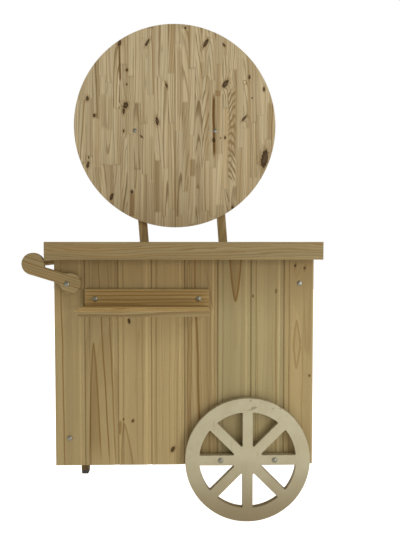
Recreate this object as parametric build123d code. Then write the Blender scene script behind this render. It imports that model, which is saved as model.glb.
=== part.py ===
from build123d import *
import math
import os

# Push vending cart, millimetres. While it is being modelled, X = 0 is the middle of the
# cart, Y = 0 is the outer face of the front panel and Z = 0 is the ground. X runs to the
# right as the customer sees it, Y runs away from the customer and Z runs up. At the end
# everything is shifted so that the origin is under the middle of the whole cart.

# --- driving dimensions -------------------------------------------------------------

# tongue-and-groove boards
BOARD_COVER = 110.0
BOARD_COUNT = 8
END_BOARD_WIDTH = 98.0
FRONT_BOARD_THICKNESS = 14.0
SIDE_BOARD_THICKNESS = 12.0
TONGUE_THICKNESS = 4.0
TONGUE_LENGTH = 6.0
TONGUE_CLEARANCE = 0.3
VEE_SIZE = 3.2
QUIRK_OFFSET = 17.0
QUIRK_WIDTH = 2.6
QUIRK_DEPTH = 1.6
LIP_WIDTH = 17.0
LIP_SLOPE = 4.5
LIP_DEPTH = 1.5
LIP_VEE = 2.4
NARROWEST_BOARD = 30.0

# carcass
COUNTER_TOP = 925.0
CARCASS_DEPTH = 420.0
STILE_WIDTH = 68.0
STILE_THICKNESS = 34.0
RAIL_HEIGHT = 45.0
RUNG_THICKNESS = 19.0
HUB_ABOVE_PANEL_BOTTOM = 25.0
FLOOR_THICKNESS = 12.0
SEAT_GAP = 0.5

# counter
TOP_THICKNESS = 18.0
FASCIA_THICKNESS = 18.0
FASCIA_HEIGHT = 58.0
COUNTER_OVERHANG = 26.0

# front shelf
CLEAT_THICKNESS = 20.0
CLEAT_HEIGHT = 58.0
CLEAT_LENGTH = 405.0
CLEAT_INSET = 103.0
CLEAT_DROP = 212.0
CLEAT_BOLT_INSET = 34.0
CLEAT_BOLT_DROP = 3.0
SHELF_DEPTH = 130.0
SHELF_THICKNESS = 18.0
SHELF_LEFT_OVERHANG = 10.0
SHELF_SCREW_COUNT = 3

# wheels
WHEEL_RADIUS = 206.0
WHEEL_THICKNESS = 18.0
WHEEL_INSET = 220.0
RIM_WIDTH = 46.0
SPOKE_WIDTH = 33.5
SPOKE_COUNT = 8
SPOKE_CORNER = 3.5
WHEEL_EDGE = 0.7
WHEEL_STANDOFF = 12.0
WHEEL_BOLT_RADIUS = 89.0
SPACER_RADIUS = 15.0

# leg
LEG_WIDTH = 28.0
LEG_DEPTH = 34.0
LEG_SETBACK = 49.0
LEG_RISE = 130.0
LEG_LAP_CLEARANCE = 0.3
LEG_TOP_BOLT_DROP = 40.0
LEG_TIP_HEIGHT = 18.0
LEG_TIP_CORNER = 5.0
LEG_TIP_SOLE_ROUND = 6.0

# push handle
PIVOT_DROP = 137.0
BRACKET_THICKNESS = 20.0
BRACKET_EDGE = 3.0
KNOB_RADIUS = 36.0
KNOB_GAP = 2.0
KNOB_RISE = 65.6
LOBE_OFFSET = (11.0, 2.0)
LOBE_RADIUS = 34.0
ARM_WIDTH = 36.0
ARM_SLOPE = 17.0
CROTCH_ROUND = 7.0
LOBE_UNDER_ROUND = 22.0
LOBE_OVER_ROUND = 40.0
BAR_RADIUS = 11.0
BAR_SOCKET_DEPTH = 14.0
BAR_GLUE_CLEARANCE = 0.1

# sign and its posts
SIGN_RADIUS = 412.0
SIGN_THICKNESS = 18.0
SIGN_GAP = 64.7
SIGN_RISE = 18.6
SEAM_CHAMFER = 0.8
POST_WIDTH = 36.0
POST_THICKNESS = 20.0
POST_SPACING = 328.0
POST_BASE_X = -5.0
POST_BASE_DROP = 35.0
POST_END = 24.0
POST_CORNER_FLAT = 2.0
REST_LEAN = 4.35

# bolts, nuts and screws
BOLT_RADIUS = 4.0
BOLT_HEAD_RADIUS = 8.6
BOLT_HEAD_HEIGHT = 4.6
BOLT_HEAD_RIM = 0.8
BOLT_NECK_DEPTH = 4.5
BOLT_POINT = 0.8
BOLT_HOLE_CLEARANCE = 0.2
PIVOT_CLEARANCE = 0.08
OPEN_PIVOT_CLEARANCE = 0.3
SLIDE_GAP = 0.5
NUT_ACROSS_FLATS = 13.0
NUT_HEIGHT = 6.5
WASHER_RADIUS = 9.5
WASHER_THICKNESS = 1.6
BOLT_TAIL = 3.5
THREAD_GAP = 0.05
SCREW_RADIUS = 2.2
SCREW_HEAD_RADIUS = 4.4
SCREW_LENGTH = 40.0
FRAME_BOLT_RISE = 92.0

# softened edges
EDGE = 1.5
SIDE_FASCIA_EDGE = 0.8

# --- derived places -----------------------------------------------------------------

PANEL_HALF = (BOARD_COUNT - 2) * BOARD_COVER / 2 + END_BOARD_WIDTH
TOP_UNDERSIDE = COUNTER_TOP - TOP_THICKNESS
WHEEL_Z = WHEEL_RADIUS
PANEL_BOTTOM = WHEEL_Z - HUB_ABOVE_PANEL_BOTTOM
BOARD_HEIGHT = TOP_UNDERSIDE - PANEL_BOTTOM
INNER_HALF = PANEL_HALF - SIDE_BOARD_THICKNESS
STILE_INNER = INNER_HALF - STILE_WIDTH
STILE_BACK = FRONT_BOARD_THICKNESS + STILE_THICKNESS
REAR_STILE_FRONT = CARCASS_DEPTH - STILE_THICKNESS
COUNTER_HALF = PANEL_HALF + COUNTER_OVERHANG
COUNTER_FRONT = -COUNTER_OVERHANG
COUNTER_REAR = CARCASS_DEPTH + COUNTER_OVERHANG
FASCIA_BOTTOM = COUNTER_TOP - FASCIA_HEIGHT
RAIL_BOTTOM_TOP = PANEL_BOTTOM + RAIL_HEIGHT
WHEEL_CENTRE_X = PANEL_HALF - WHEEL_INSET
WHEEL_FRONT_BACK = -WHEEL_STANDOFF
WHEEL_REAR_FRONT = CARCASS_DEPTH + WHEEL_STANDOFF
CLEAT_LEFT = -PANEL_HALF + CLEAT_INSET
CLEAT_BOTTOM = COUNTER_TOP - CLEAT_DROP
CLEAT_BOLT_Z = CLEAT_BOTTOM + CLEAT_HEIGHT / 2 - CLEAT_BOLT_DROP
CLEAT_BOLTS_X = (CLEAT_LEFT + CLEAT_BOLT_INSET, CLEAT_LEFT + CLEAT_LENGTH - CLEAT_BOLT_INSET)
SHELF_LEFT = CLEAT_LEFT - SHELF_LEFT_OVERHANG
SHELF_RIGHT = CLEAT_LEFT + CLEAT_LENGTH
WHEEL_BOLTS_X = (WHEEL_CENTRE_X - WHEEL_BOLT_RADIUS, WHEEL_CENTRE_X + WHEEL_BOLT_RADIUS)
LEG_LEFT = -INNER_HALF
LEG_FRONT = REAR_STILE_FRONT - LEG_SETBACK
LEG_TOP = RAIL_BOTTOM_TOP + LEG_RISE
LEG_MIDDLE_Y = LEG_FRONT + LEG_DEPTH / 2
LEG_BOLTS_Z = (PANEL_BOTTOM + RAIL_HEIGHT / 2, LEG_TOP - LEG_TOP_BOLT_DROP)
PIVOT_X = -(INNER_HALF - STILE_WIDTH / 2)
PIVOT_Z = COUNTER_TOP - PIVOT_DROP
FRAME_BOLT_LOW_Z = PANEL_BOTTOM + FRAME_BOLT_RISE
KNOB = (-(COUNTER_HALF + KNOB_GAP + KNOB_RADIUS), PIVOT_Z + KNOB_RISE)
LOBE = (PIVOT_X + LOBE_OFFSET[0], PIVOT_Z + LOBE_OFFSET[1])
SIGN_BACK = COUNTER_REAR
SIGN_FRONT = SIGN_BACK - SIGN_THICKNESS
POST_FRONT = COUNTER_REAR + SLIDE_GAP
POST_BACK = POST_FRONT + POST_THICKNESS
LEAN = math.radians(REST_LEAN)
SIGN_Z = COUNTER_TOP + SIGN_GAP + SIGN_RADIUS
POST_BASE_Z = COUNTER_TOP - POST_BASE_DROP
POST_TOP_Z = SIGN_Z - SIGN_RISE
POST_SPAN = (POST_TOP_Z - POST_BASE_Z) / math.cos(LEAN)
POST_TOP_X = POST_BASE_X - POST_SPAN * math.sin(LEAN)
POST_SIDES = {"left": -POST_SPACING / 2, "right": POST_SPACING / 2}
SIGN_X = POST_TOP_X
BOLT_NECK = 2 * BOLT_RADIUS

pieces = {}


# --- helpers ------------------------------------------------------------------------

def block(x0, x1, y0, y1, z0, z1):
    """A box between two corners."""
    size = Box(x1 - x0, y1 - y0, z1 - z0)
    return Pos((x0 + x1) / 2, (y0 + y1) / 2, (z0 + z1) / 2) * size


def planed(x0, x1, y0, y1, z0, z1, edge=EDGE):
    """A planed board: a box with all its edges softened."""
    board = block(x0, x1, y0, y1, z0, z1)
    return fillet(board.edges(), edge)


def along_y(x, y0, y1, z, radius):
    """A round rod along Y from y0 to y1."""
    rod = Cylinder(radius, y1 - y0)
    return Pos(x, (y0 + y1) / 2, z) * Rot(90, 0, 0) * rod


def front_plane(y):
    """A drawing plane at depth y: its x is X, its y is Z and it is extruded towards -Y."""
    return Plane(origin=(0, y, 0), x_dir=(1, 0, 0), z_dir=(0, -1, 0))


def group(solids):
    """Separate solids kept together in one node."""
    return Compound(children=list(solids))


def bolt_local(grip, neck=True):
    """A round-head bolt along +Z. Its head sits on z = 0 on the -Z side."""
    cap_height = BOLT_HEAD_HEIGHT - BOLT_HEAD_RIM
    ball = (BOLT_HEAD_RADIUS**2 + cap_height**2) / (2 * cap_height)
    cap = Pos(0, 0, ball - BOLT_HEAD_HEIGHT) * Sphere(ball)
    cap &= Pos(0, 0, -BOLT_HEAD_RIM - cap_height / 2) * Box(4 * ball, 4 * ball, cap_height)
    head = cap + Pos(0, 0, -BOLT_HEAD_RIM / 2) * Cylinder(BOLT_HEAD_RADIUS, BOLT_HEAD_RIM)
    length = grip + WASHER_THICKNESS + NUT_HEIGHT + BOLT_TAIL
    shank = Pos(0, 0, length / 2) * Cylinder(BOLT_RADIUS, length)
    shank = chamfer(shank.edges().group_by(Axis.Z)[-1], BOLT_POINT)
    body = head + shank
    if neck:
        body += Pos(0, 0, BOLT_NECK_DEPTH / 2) * Box(BOLT_NECK, BOLT_NECK, BOLT_NECK_DEPTH)
    return body


def nut_local(grip):
    """The washer and the hexagon nut at the far end of a bolt, each a separate solid."""
    hole = BOLT_RADIUS + THREAD_GAP
    washer = Cylinder(WASHER_RADIUS, WASHER_THICKNESS) - Cylinder(hole, WASHER_THICKNESS)
    washer = Pos(0, 0, grip + WASHER_THICKNESS / 2) * washer
    flats = RegularPolygon(NUT_ACROSS_FLATS / 2, 6, major_radius=False)
    nut = extrude(flats - Circle(hole), NUT_HEIGHT)
    nut = Pos(0, 0, grip + WASHER_THICKNESS) * nut
    return [washer, nut]


def place_bolt(shape, x, y_head, z, toward):
    """Turns a bolt that is drawn along +Z into +Y (toward = 1) or -Y (toward = -1)."""
    return Pos(x, y_head, z) * Rot(-90 * toward, 0, 0) * shape


def bolt_hole(x, y_head, z, toward, length, clearance=BOLT_HOLE_CLEARANCE, neck=True):
    """The cutting tool for a bolt: a round hole, with a square pocket for the neck."""
    radius = BOLT_RADIUS + clearance
    tool = Pos(0, 0, length / 2) * Cylinder(radius, length)
    if neck:
        side = BOLT_NECK + 2 * clearance
        depth = BOLT_NECK_DEPTH + clearance
        tool += Pos(0, 0, depth / 2) * Box(side, side, depth)
    return place_bolt(tool, x, y_head, z, toward)


# --- tongue-and-groove boards -------------------------------------------------------

def board_outline(width, thickness, tongue, groove):
    """The section of one board: face on y = 0, back on y = thickness.

    The tongue stands out of x = 0 and the groove is cut into x = width. The tongue's edge
    has a bevel at the face, and beside it a narrow round-bottomed line. The groove's edge
    is a flat lip that lies a little under the face, with a small bevel into the joint.
    """
    middle = thickness / 2 + 1
    low = middle - TONGUE_THICKNESS / 2
    high = middle + TONGUE_THICKNESS / 2
    points = []
    if tongue:
        points += [(VEE_SIZE, 0), (0, VEE_SIZE), (0, low), (-TONGUE_LENGTH, low)]
        points += [(-TONGUE_LENGTH, high), (0, high), (0, thickness)]
    else:
        points += [(0, 0), (0, thickness)]
    if groove:
        depth = width - TONGUE_LENGTH - TONGUE_CLEARANCE
        points += [(width, thickness), (width, high + TONGUE_CLEARANCE)]
        points += [(depth, high + TONGUE_CLEARANCE), (depth, low - TONGUE_CLEARANCE)]
        points += [(width, low - TONGUE_CLEARANCE), (width, LIP_DEPTH + LIP_VEE)]
        points += [(width - LIP_VEE, LIP_DEPTH), (width - LIP_WIDTH + LIP_SLOPE, LIP_DEPTH)]
        points += [(width - LIP_WIDTH, 0)]
    else:
        points += [(width, thickness), (width, 0)]
    section = Polygon(*points, align=None)
    if tongue:
        quirk = SlotOverall(2 * QUIRK_DEPTH + QUIRK_WIDTH, QUIRK_WIDTH, rotation=90)
        section -= Pos(QUIRK_OFFSET, -QUIRK_WIDTH / 2) * quirk
    return section


def make_front_boards():
    """The front panel, from left to right, with bolt holes where bolts pass."""
    holes = [bolt_hole(x, 0, z, 1, FRONT_BOARD_THICKNESS + 1) for x, z in FRAME_BOLTS]
    through = list(HANDLE_BOLTS) + [(x, CLEAT_BOLT_Z) for x in CLEAT_BOLTS_X]
    through += [(x, WHEEL_Z) for x in WHEEL_BOLTS_X]
    for x, z in through:
        holes.append(bolt_hole(x, -1, z, 1, FRONT_BOARD_THICKNESS + 2, neck=False))
    left = -PANEL_HALF
    for number in range(1, BOARD_COUNT + 1):
        is_end = number in (1, BOARD_COUNT)
        width = END_BOARD_WIDTH if is_end else BOARD_COVER
        outline = board_outline(width, FRONT_BOARD_THICKNESS, number > 1, number < BOARD_COUNT)
        board = extrude(Pos(left, 0) * outline, BOARD_HEIGHT, dir=(0, 0, 1))
        board = Pos(0, 0, PANEL_BOTTOM) * board
        for hole in holes:
            board -= hole
        pieces[f"front_board_{number}"] = board
        left += width


def side_board_widths():
    """Full boards from the front, then one cut to fit. Too thin a strip shares with the last."""
    run = CARCASS_DEPTH - FRONT_BOARD_THICKNESS
    full, rest = divmod(run, BOARD_COVER)
    widths = [BOARD_COVER] * int(full)
    if rest >= NARROWEST_BOARD:
        return widths + [rest]
    shared = (BOARD_COVER + rest) / 2
    return widths[:-1] + [shared, shared]


def make_side_boards():
    """The cladding of each side, from the front panel's back face to the rear."""
    for side in ("left", "right"):
        start = FRONT_BOARD_THICKNESS
        for number, width in enumerate(side_board_widths(), start=1):
            last = number == len(side_board_widths())
            outline = board_outline(width, SIDE_BOARD_THICKNESS, number > 1, not last)
            board = extrude(outline, BOARD_HEIGHT, dir=(0, 0, 1))
            board = Pos(PANEL_HALF, start, PANEL_BOTTOM) * Rot(0, 0, 90) * board
            if side == "left":
                board = mirror(board, Plane.YZ)
                for z in LEG_BOLTS_Z:
                    board -= leg_bolt_tool(z)
            pieces[f"side_board_{side}_{number}"] = board
            start += width


def leg_bolt_tool(z):
    """The hole for a leg bolt: along X, its head outside the left cladding."""
    tool = bolt_hole(0, 0, 0, 1, SIDE_BOARD_THICKNESS + LEG_WIDTH + 1)
    return Pos(-PANEL_HALF, LEG_MIDDLE_Y, z) * Rot(0, 0, -90) * tool


# --- carcass ------------------------------------------------------------------------

FRAME_BOLTS = ((-PIVOT_X, PIVOT_Z), (PIVOT_X, FRAME_BOLT_LOW_Z), (-PIVOT_X, FRAME_BOLT_LOW_Z))
HANDLE_BOLTS = ((PIVOT_X, PIVOT_Z),)


def make_stiles():
    for side, sign in (("left", -1), ("right", 1)):
        x0, x1 = sorted((sign * STILE_INNER, sign * INNER_HALF))
        front = block(x0, x1, FRONT_BOARD_THICKNESS, STILE_BACK, PANEL_BOTTOM, TOP_UNDERSIDE)
        rear = block(x0, x1, REAR_STILE_FRONT, CARCASS_DEPTH, PANEL_BOTTOM, TOP_UNDERSIDE)
        for x, z in FRAME_BOLTS + HANDLE_BOLTS:
            front -= bolt_hole(x, 0, z, 1, STILE_BACK + 1, neck=False)
        for x, z in HANDLE_BOLTS:
            rear -= bolt_hole(x, CARCASS_DEPTH + 1, z, -1, STILE_THICKNESS + 2, neck=False)
        pieces[f"stile_front_{side}"] = front
        pieces[f"stile_rear_{side}"] = rear


def make_rails():
    """Rails between the stiles: three behind the front panel and two at the open rear."""
    low = PANEL_BOTTOM
    high = TOP_UNDERSIDE - RAIL_HEIGHT
    middle = CLEAT_BOLT_Z - RAIL_HEIGHT / 2
    half = STILE_INNER
    fronts = {"top": high, "middle": middle, "bottom": low}
    for name, z in fronts.items():
        rail = block(-half, half, FRONT_BOARD_THICKNESS, STILE_BACK, z, z + RAIL_HEIGHT)
        bolts = {"top": (), "middle": CLEAT_BOLTS_X, "bottom": WHEEL_BOLTS_X}[name]
        bolt_z = {"top": 0, "middle": CLEAT_BOLT_Z, "bottom": WHEEL_Z}[name]
        for x in bolts:
            rail -= bolt_hole(x, 0, bolt_z, 1, STILE_BACK + 1, neck=False)
        pieces[f"rail_front_{name}"] = rail
    for name, z in {"top": high, "bottom": low}.items():
        rail = block(-half, half, REAR_STILE_FRONT, CARCASS_DEPTH, z, z + RAIL_HEIGHT)
        if name == "top":
            bolts = [(POST_BASE_X + dx, POST_BASE_Z) for dx in POST_SIDES.values()]
        else:
            bolts = [(x, WHEEL_Z) for x in WHEEL_BOLTS_X]
        for x, bolt_z in bolts:
            rail -= bolt_hole(x, CARCASS_DEPTH + 1, bolt_z, -1, STILE_THICKNESS + 2, neck=False)
        pieces[f"rail_rear_{name}"] = rail


def make_rungs():
    """Rungs that the side boards are nailed to, from the front stile to the rear stile."""
    for side, sign in (("left", -1), ("right", 1)):
        x0, x1 = sorted((sign * (INNER_HALF - RUNG_THICKNESS), sign * INNER_HALF))
        for name, z in {"top": TOP_UNDERSIDE - RAIL_HEIGHT, "bottom": PANEL_BOTTOM}.items():
            rung = block(x0, x1, STILE_BACK, REAR_STILE_FRONT, z, z + RAIL_HEIGHT)
            if side == "left" and name == "bottom":
                rung -= leg_bolt_tool(LEG_BOLTS_Z[0])
            pieces[f"rung_{side}_{name}"] = rung


def make_floor():
    """The floor of the storage bay, notched round the four stiles and the leg."""
    gap = SEAT_GAP
    z0 = RAIL_BOTTOM_TOP
    z1 = z0 + FLOOR_THICKNESS
    y0 = FRONT_BOARD_THICKNESS + gap
    y1 = CARCASS_DEPTH - gap
    half = INNER_HALF - gap
    floor = block(-half, half, y0, y1, z0, z1)
    for sign in (-1, 1):
        x0, x1 = sorted((sign * (STILE_INNER - gap), sign * (INNER_HALF + gap)))
        floor -= block(x0, x1, 0, STILE_BACK + gap, z0, z1)
        floor -= block(x0, x1, REAR_STILE_FRONT - gap, CARCASS_DEPTH, z0, z1)
    right = LEG_LEFT + LEG_WIDTH + gap
    floor -= block(LEG_LEFT, right, LEG_FRONT - gap, LEG_FRONT + LEG_DEPTH + gap, z0, z1)
    pieces["floor_board"] = floor


def make_leg():
    """The rear left leg. It is lapped over the bottom rung and bolted through the side."""
    leg = block(
        LEG_LEFT, LEG_LEFT + LEG_WIDTH, LEG_FRONT, LEG_FRONT + LEG_DEPTH, LEG_TIP_HEIGHT, LEG_TOP
    )
    lap = LEG_LAP_CLEARANCE
    leg -= block(
        LEG_LEFT - 1, LEG_LEFT + RUNG_THICKNESS + lap, LEG_FRONT - 1, LEG_FRONT + LEG_DEPTH + 1,
        PANEL_BOTTOM - lap, RAIL_BOTTOM_TOP + lap
    )
    for z in LEG_BOLTS_Z:
        leg -= leg_bolt_tool(z)
    pieces["leg"] = leg
    tip = block(
        LEG_LEFT, LEG_LEFT + LEG_WIDTH, LEG_FRONT, LEG_FRONT + LEG_DEPTH, 0, LEG_TIP_HEIGHT
    )
    tip = fillet(tip.edges().filter_by(Axis.Z), LEG_TIP_CORNER)
    tip = fillet(tip.edges().group_by(Axis.Z)[0], LEG_TIP_SOLE_ROUND)
    pieces["leg_tip"] = tip


# --- counter ------------------------------------------------------------------------

def make_counter():
    inner = FASCIA_THICKNESS
    half = COUNTER_HALF - inner
    top = block(
        -half, half, COUNTER_FRONT + inner, COUNTER_REAR - inner, TOP_UNDERSIDE, COUNTER_TOP
    )
    pieces["counter_top"] = top
    z = (FASCIA_BOTTOM, COUNTER_TOP)
    pieces["fascia_front"] = planed(
        -COUNTER_HALF, COUNTER_HALF, COUNTER_FRONT, COUNTER_FRONT + inner, *z
    )
    rear = planed(-COUNTER_HALF, COUNTER_HALF, COUNTER_REAR - inner, COUNTER_REAR, *z)
    for dx in POST_SIDES.values():
        rear -= bolt_hole(
            POST_BASE_X + dx, COUNTER_REAR + 1, POST_BASE_Z, -1, inner + 2, neck=False
        )
    pieces["fascia_rear"] = rear
    for side, sign in (("left", -1), ("right", 1)):
        x0, x1 = sorted((sign * half, sign * COUNTER_HALF))
        pieces[f"fascia_{side}"] = planed(
            x0, x1, COUNTER_FRONT + inner, COUNTER_REAR - inner, *z, edge=SIDE_FASCIA_EDGE
        )


# --- front shelf --------------------------------------------------------------------

def make_shelf():
    cleat = planed(
        CLEAT_LEFT, SHELF_RIGHT, -CLEAT_THICKNESS, 0, CLEAT_BOTTOM, CLEAT_BOTTOM + CLEAT_HEIGHT
    )
    for x in CLEAT_BOLTS_X:
        cleat -= bolt_hole(x, -CLEAT_THICKNESS, CLEAT_BOLT_Z, 1, CLEAT_THICKNESS + 1)
    z1 = CLEAT_BOTTOM
    z0 = z1 - SHELF_THICKNESS
    end = Polygon(
        (SHELF_LEFT, z1), (SHELF_LEFT + SHELF_THICKNESS, z0), (SHELF_RIGHT, z0),
        (SHELF_RIGHT, z1), align=None
    )
    board = extrude(front_plane(0) * end, SHELF_DEPTH)
    board = chamfer(board.edges().group_by(Axis.Y)[0], EDGE / 2)
    screws = []
    span = (CLEAT_BOLTS_X[1] - CLEAT_BOLTS_X[0]) / (SHELF_SCREW_COUNT + 1)
    for number in range(1, SHELF_SCREW_COUNT + 1):
        x = CLEAT_BOLTS_X[0] + number * span
        place = Pos(x, -CLEAT_THICKNESS / 2, z0)
        head = Cone(SCREW_HEAD_RADIUS, SCREW_RADIUS, SCREW_HEAD_RADIUS - SCREW_RADIUS)
        head = Pos(0, 0, (SCREW_HEAD_RADIUS - SCREW_RADIUS) / 2) * head
        shank = Pos(0, 0, SCREW_LENGTH / 2) * Cylinder(SCREW_RADIUS, SCREW_LENGTH)
        screw = place * (head + shank)
        board -= screw
        cleat -= screw
        screws.append(screw)
    pieces["shelf_cleat"] = cleat
    pieces["shelf_board"] = board
    pieces["wood_screws"] = group(screws)


# --- wheels -------------------------------------------------------------------------

def wheel_sketch():
    """Rim and spokes: the disc less one pie-shaped window between each pair of spokes."""
    step = 360 / SPOKE_COUNT
    inner = WHEEL_RADIUS - RIM_WIDTH
    spokes = Sketch()
    for number in range(SPOKE_COUNT // 2):
        spokes += Rot(0, 0, number * step) * Rectangle(2 * WHEEL_RADIUS, SPOKE_WIDTH)
    windows = Circle(inner) - spokes
    windows = fillet(windows.vertices(), SPOKE_CORNER)
    return Circle(WHEEL_RADIUS) - windows


def make_wheels():
    sketch = wheel_sketch()
    fronts = {"front": WHEEL_FRONT_BACK, "rear": WHEEL_REAR_FRONT + WHEEL_THICKNESS}
    for name, back in fronts.items():
        plane = front_plane(back)
        wheel = extrude(plane * Pos(WHEEL_CENTRE_X, WHEEL_Z) * sketch, WHEEL_THICKNESS)
        toward = 1 if name == "front" else -1
        head = back - WHEEL_THICKNESS if name == "front" else back
        wheel = chamfer(wheel.faces().filter_by(Axis.Y).edges(), WHEEL_EDGE)
        spacers = []
        for x in WHEEL_BOLTS_X:
            wheel -= bolt_hole(x, head, WHEEL_Z, toward, WHEEL_THICKNESS + 1)
            y0 = -WHEEL_STANDOFF if name == "front" else CARCASS_DEPTH
            spacer = along_y(x, y0, y0 + WHEEL_STANDOFF, WHEEL_Z, SPACER_RADIUS)
            hole = along_y(x, y0, y0 + WHEEL_STANDOFF, WHEEL_Z, BOLT_RADIUS + BOLT_HOLE_CLEARANCE)
            spacers.append(spacer - hole)
        pieces[f"wheel_{name}"] = wheel
        pieces[f"wheel_{name}_spacers"] = group(spacers)


# --- push handle --------------------------------------------------------------------

def bracket_sketch():
    """The S bracket, seen from the front: a knob, a sloping arm and a lobe.

    The arm's lower edge is tangent to the knob's underside, and its upper edge starts
    from the knob's middle, which makes the crotch under the counter.
    """
    slope = math.radians(-ARM_SLOPE)
    along = (math.cos(slope), math.sin(slope))
    up = (-along[1], along[0])
    reach = (LOBE[0] - KNOB[0]) * along[0] + (LOBE[1] - KNOB[1]) * along[1]
    top = KNOB_RADIUS - ARM_WIDTH

    def arm_point(s, n):
        return (KNOB[0] + s * along[0] + n * up[0], KNOB[1] + s * along[1] + n * up[1])

    arm = Polygon(
        arm_point(0, -top), arm_point(0, -KNOB_RADIUS), arm_point(reach, -KNOB_RADIUS),
        arm_point(reach, -top), align=None
    )
    knob = Pos(*KNOB) * Circle(KNOB_RADIUS)
    lobe = Pos(*LOBE) * Circle(LOBE_RADIUS)
    outline = knob + arm + lobe
    lobe_n = (LOBE[0] - KNOB[0]) * up[0] + (LOBE[1] - KNOB[1]) * up[1]
    crotch = arm_point(math.sqrt(KNOB_RADIUS**2 - top**2), -top)
    under = arm_point(
        reach - math.sqrt(LOBE_RADIUS**2 - (lobe_n + KNOB_RADIUS) ** 2), -KNOB_RADIUS
    )
    over = arm_point(reach - math.sqrt(LOBE_RADIUS**2 - (lobe_n + top) ** 2), -top)
    rounds = ((crotch, CROTCH_ROUND), (under, LOBE_UNDER_ROUND), (over, LOBE_OVER_ROUND))
    for corner, radius in rounds:
        vertex = outline.vertices().sort_by_distance(Vector(*corner, 0))[0]
        outline = fillet(vertex, radius)
    return outline


def make_handle():
    outline = bracket_sketch()
    fronts = {"front": -SLIDE_GAP, "rear": CARCASS_DEPTH + SLIDE_GAP + BRACKET_THICKNESS}
    bar_start = -SLIDE_GAP - BAR_SOCKET_DEPTH
    bar_end = CARCASS_DEPTH + SLIDE_GAP + BAR_SOCKET_DEPTH
    socket = along_y(KNOB[0], bar_start, bar_end, KNOB[1], BAR_RADIUS + BAR_GLUE_CLEARANCE)
    for name, back in fronts.items():
        bracket = extrude(front_plane(back) * outline, BRACKET_THICKNESS)
        bracket = fillet(bracket.faces().filter_by(Axis.Y).edges(), BRACKET_EDGE)
        hole = along_y(
            PIVOT_X, back - BRACKET_THICKNESS, back, PIVOT_Z, BOLT_RADIUS + PIVOT_CLEARANCE
        )
        pieces[f"handle_bracket_{name}"] = bracket - hole - socket
    pieces["handle_bar"] = along_y(KNOB[0], bar_start, bar_end, KNOB[1], BAR_RADIUS)


# --- sign ---------------------------------------------------------------------------

def make_sign():
    """The round sign in two half discs that meet at a glued seam."""
    disc = Pos(SIGN_X, SIGN_Z) * Circle(SIGN_RADIUS)
    for side, direction in POST_SIDES.items():
        half_plane = Pos(SIGN_X + math.copysign(SIGN_RADIUS, direction), SIGN_Z)
        half = disc & half_plane * Rectangle(2 * SIGN_RADIUS, 2 * SIGN_RADIUS)
        half = extrude(front_plane(SIGN_BACK) * half, SIGN_THICKNESS)
        half = chamfer(half.faces().filter_by(Axis.Y).edges(), SEAM_CHAMFER)
        hole = bolt_hole(SIGN_X + direction, SIGN_FRONT, POST_TOP_Z, 1, SIGN_THICKNESS + 1)
        pieces[f"sign_{side}_half"] = half - hole


def make_posts():
    """Two posts with round-cornered ends, each on one bolt at the base and one at the top."""
    length = POST_SPAN + 2 * POST_END
    for side, dx in POST_SIDES.items():
        sketch = RectangleRounded(POST_WIDTH, length, POST_WIDTH / 2 - POST_CORNER_FLAT)
        sketch = Pos(0, POST_SPAN / 2) * sketch
        sketch = Pos(POST_BASE_X + dx, POST_BASE_Z) * Rot(0, 0, REST_LEAN) * sketch
        post = extrude(front_plane(POST_BACK) * sketch, POST_THICKNESS)
        post = fillet(post.faces().filter_by(Axis.Y).edges(), EDGE)
        top_clearance = OPEN_PIVOT_CLEARANCE if side == "right" else PIVOT_CLEARANCE
        base = (POST_BASE_X + dx, POST_BASE_Z, PIVOT_CLEARANCE)
        top = (POST_TOP_X + dx, POST_TOP_Z, top_clearance)
        for x, z, clearance in (base, top):
            post -= along_y(x, POST_FRONT, POST_BACK, z, BOLT_RADIUS + clearance)
        pieces[f"sign_post_{side}"] = post


# --- bolts and nuts -----------------------------------------------------------------

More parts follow.
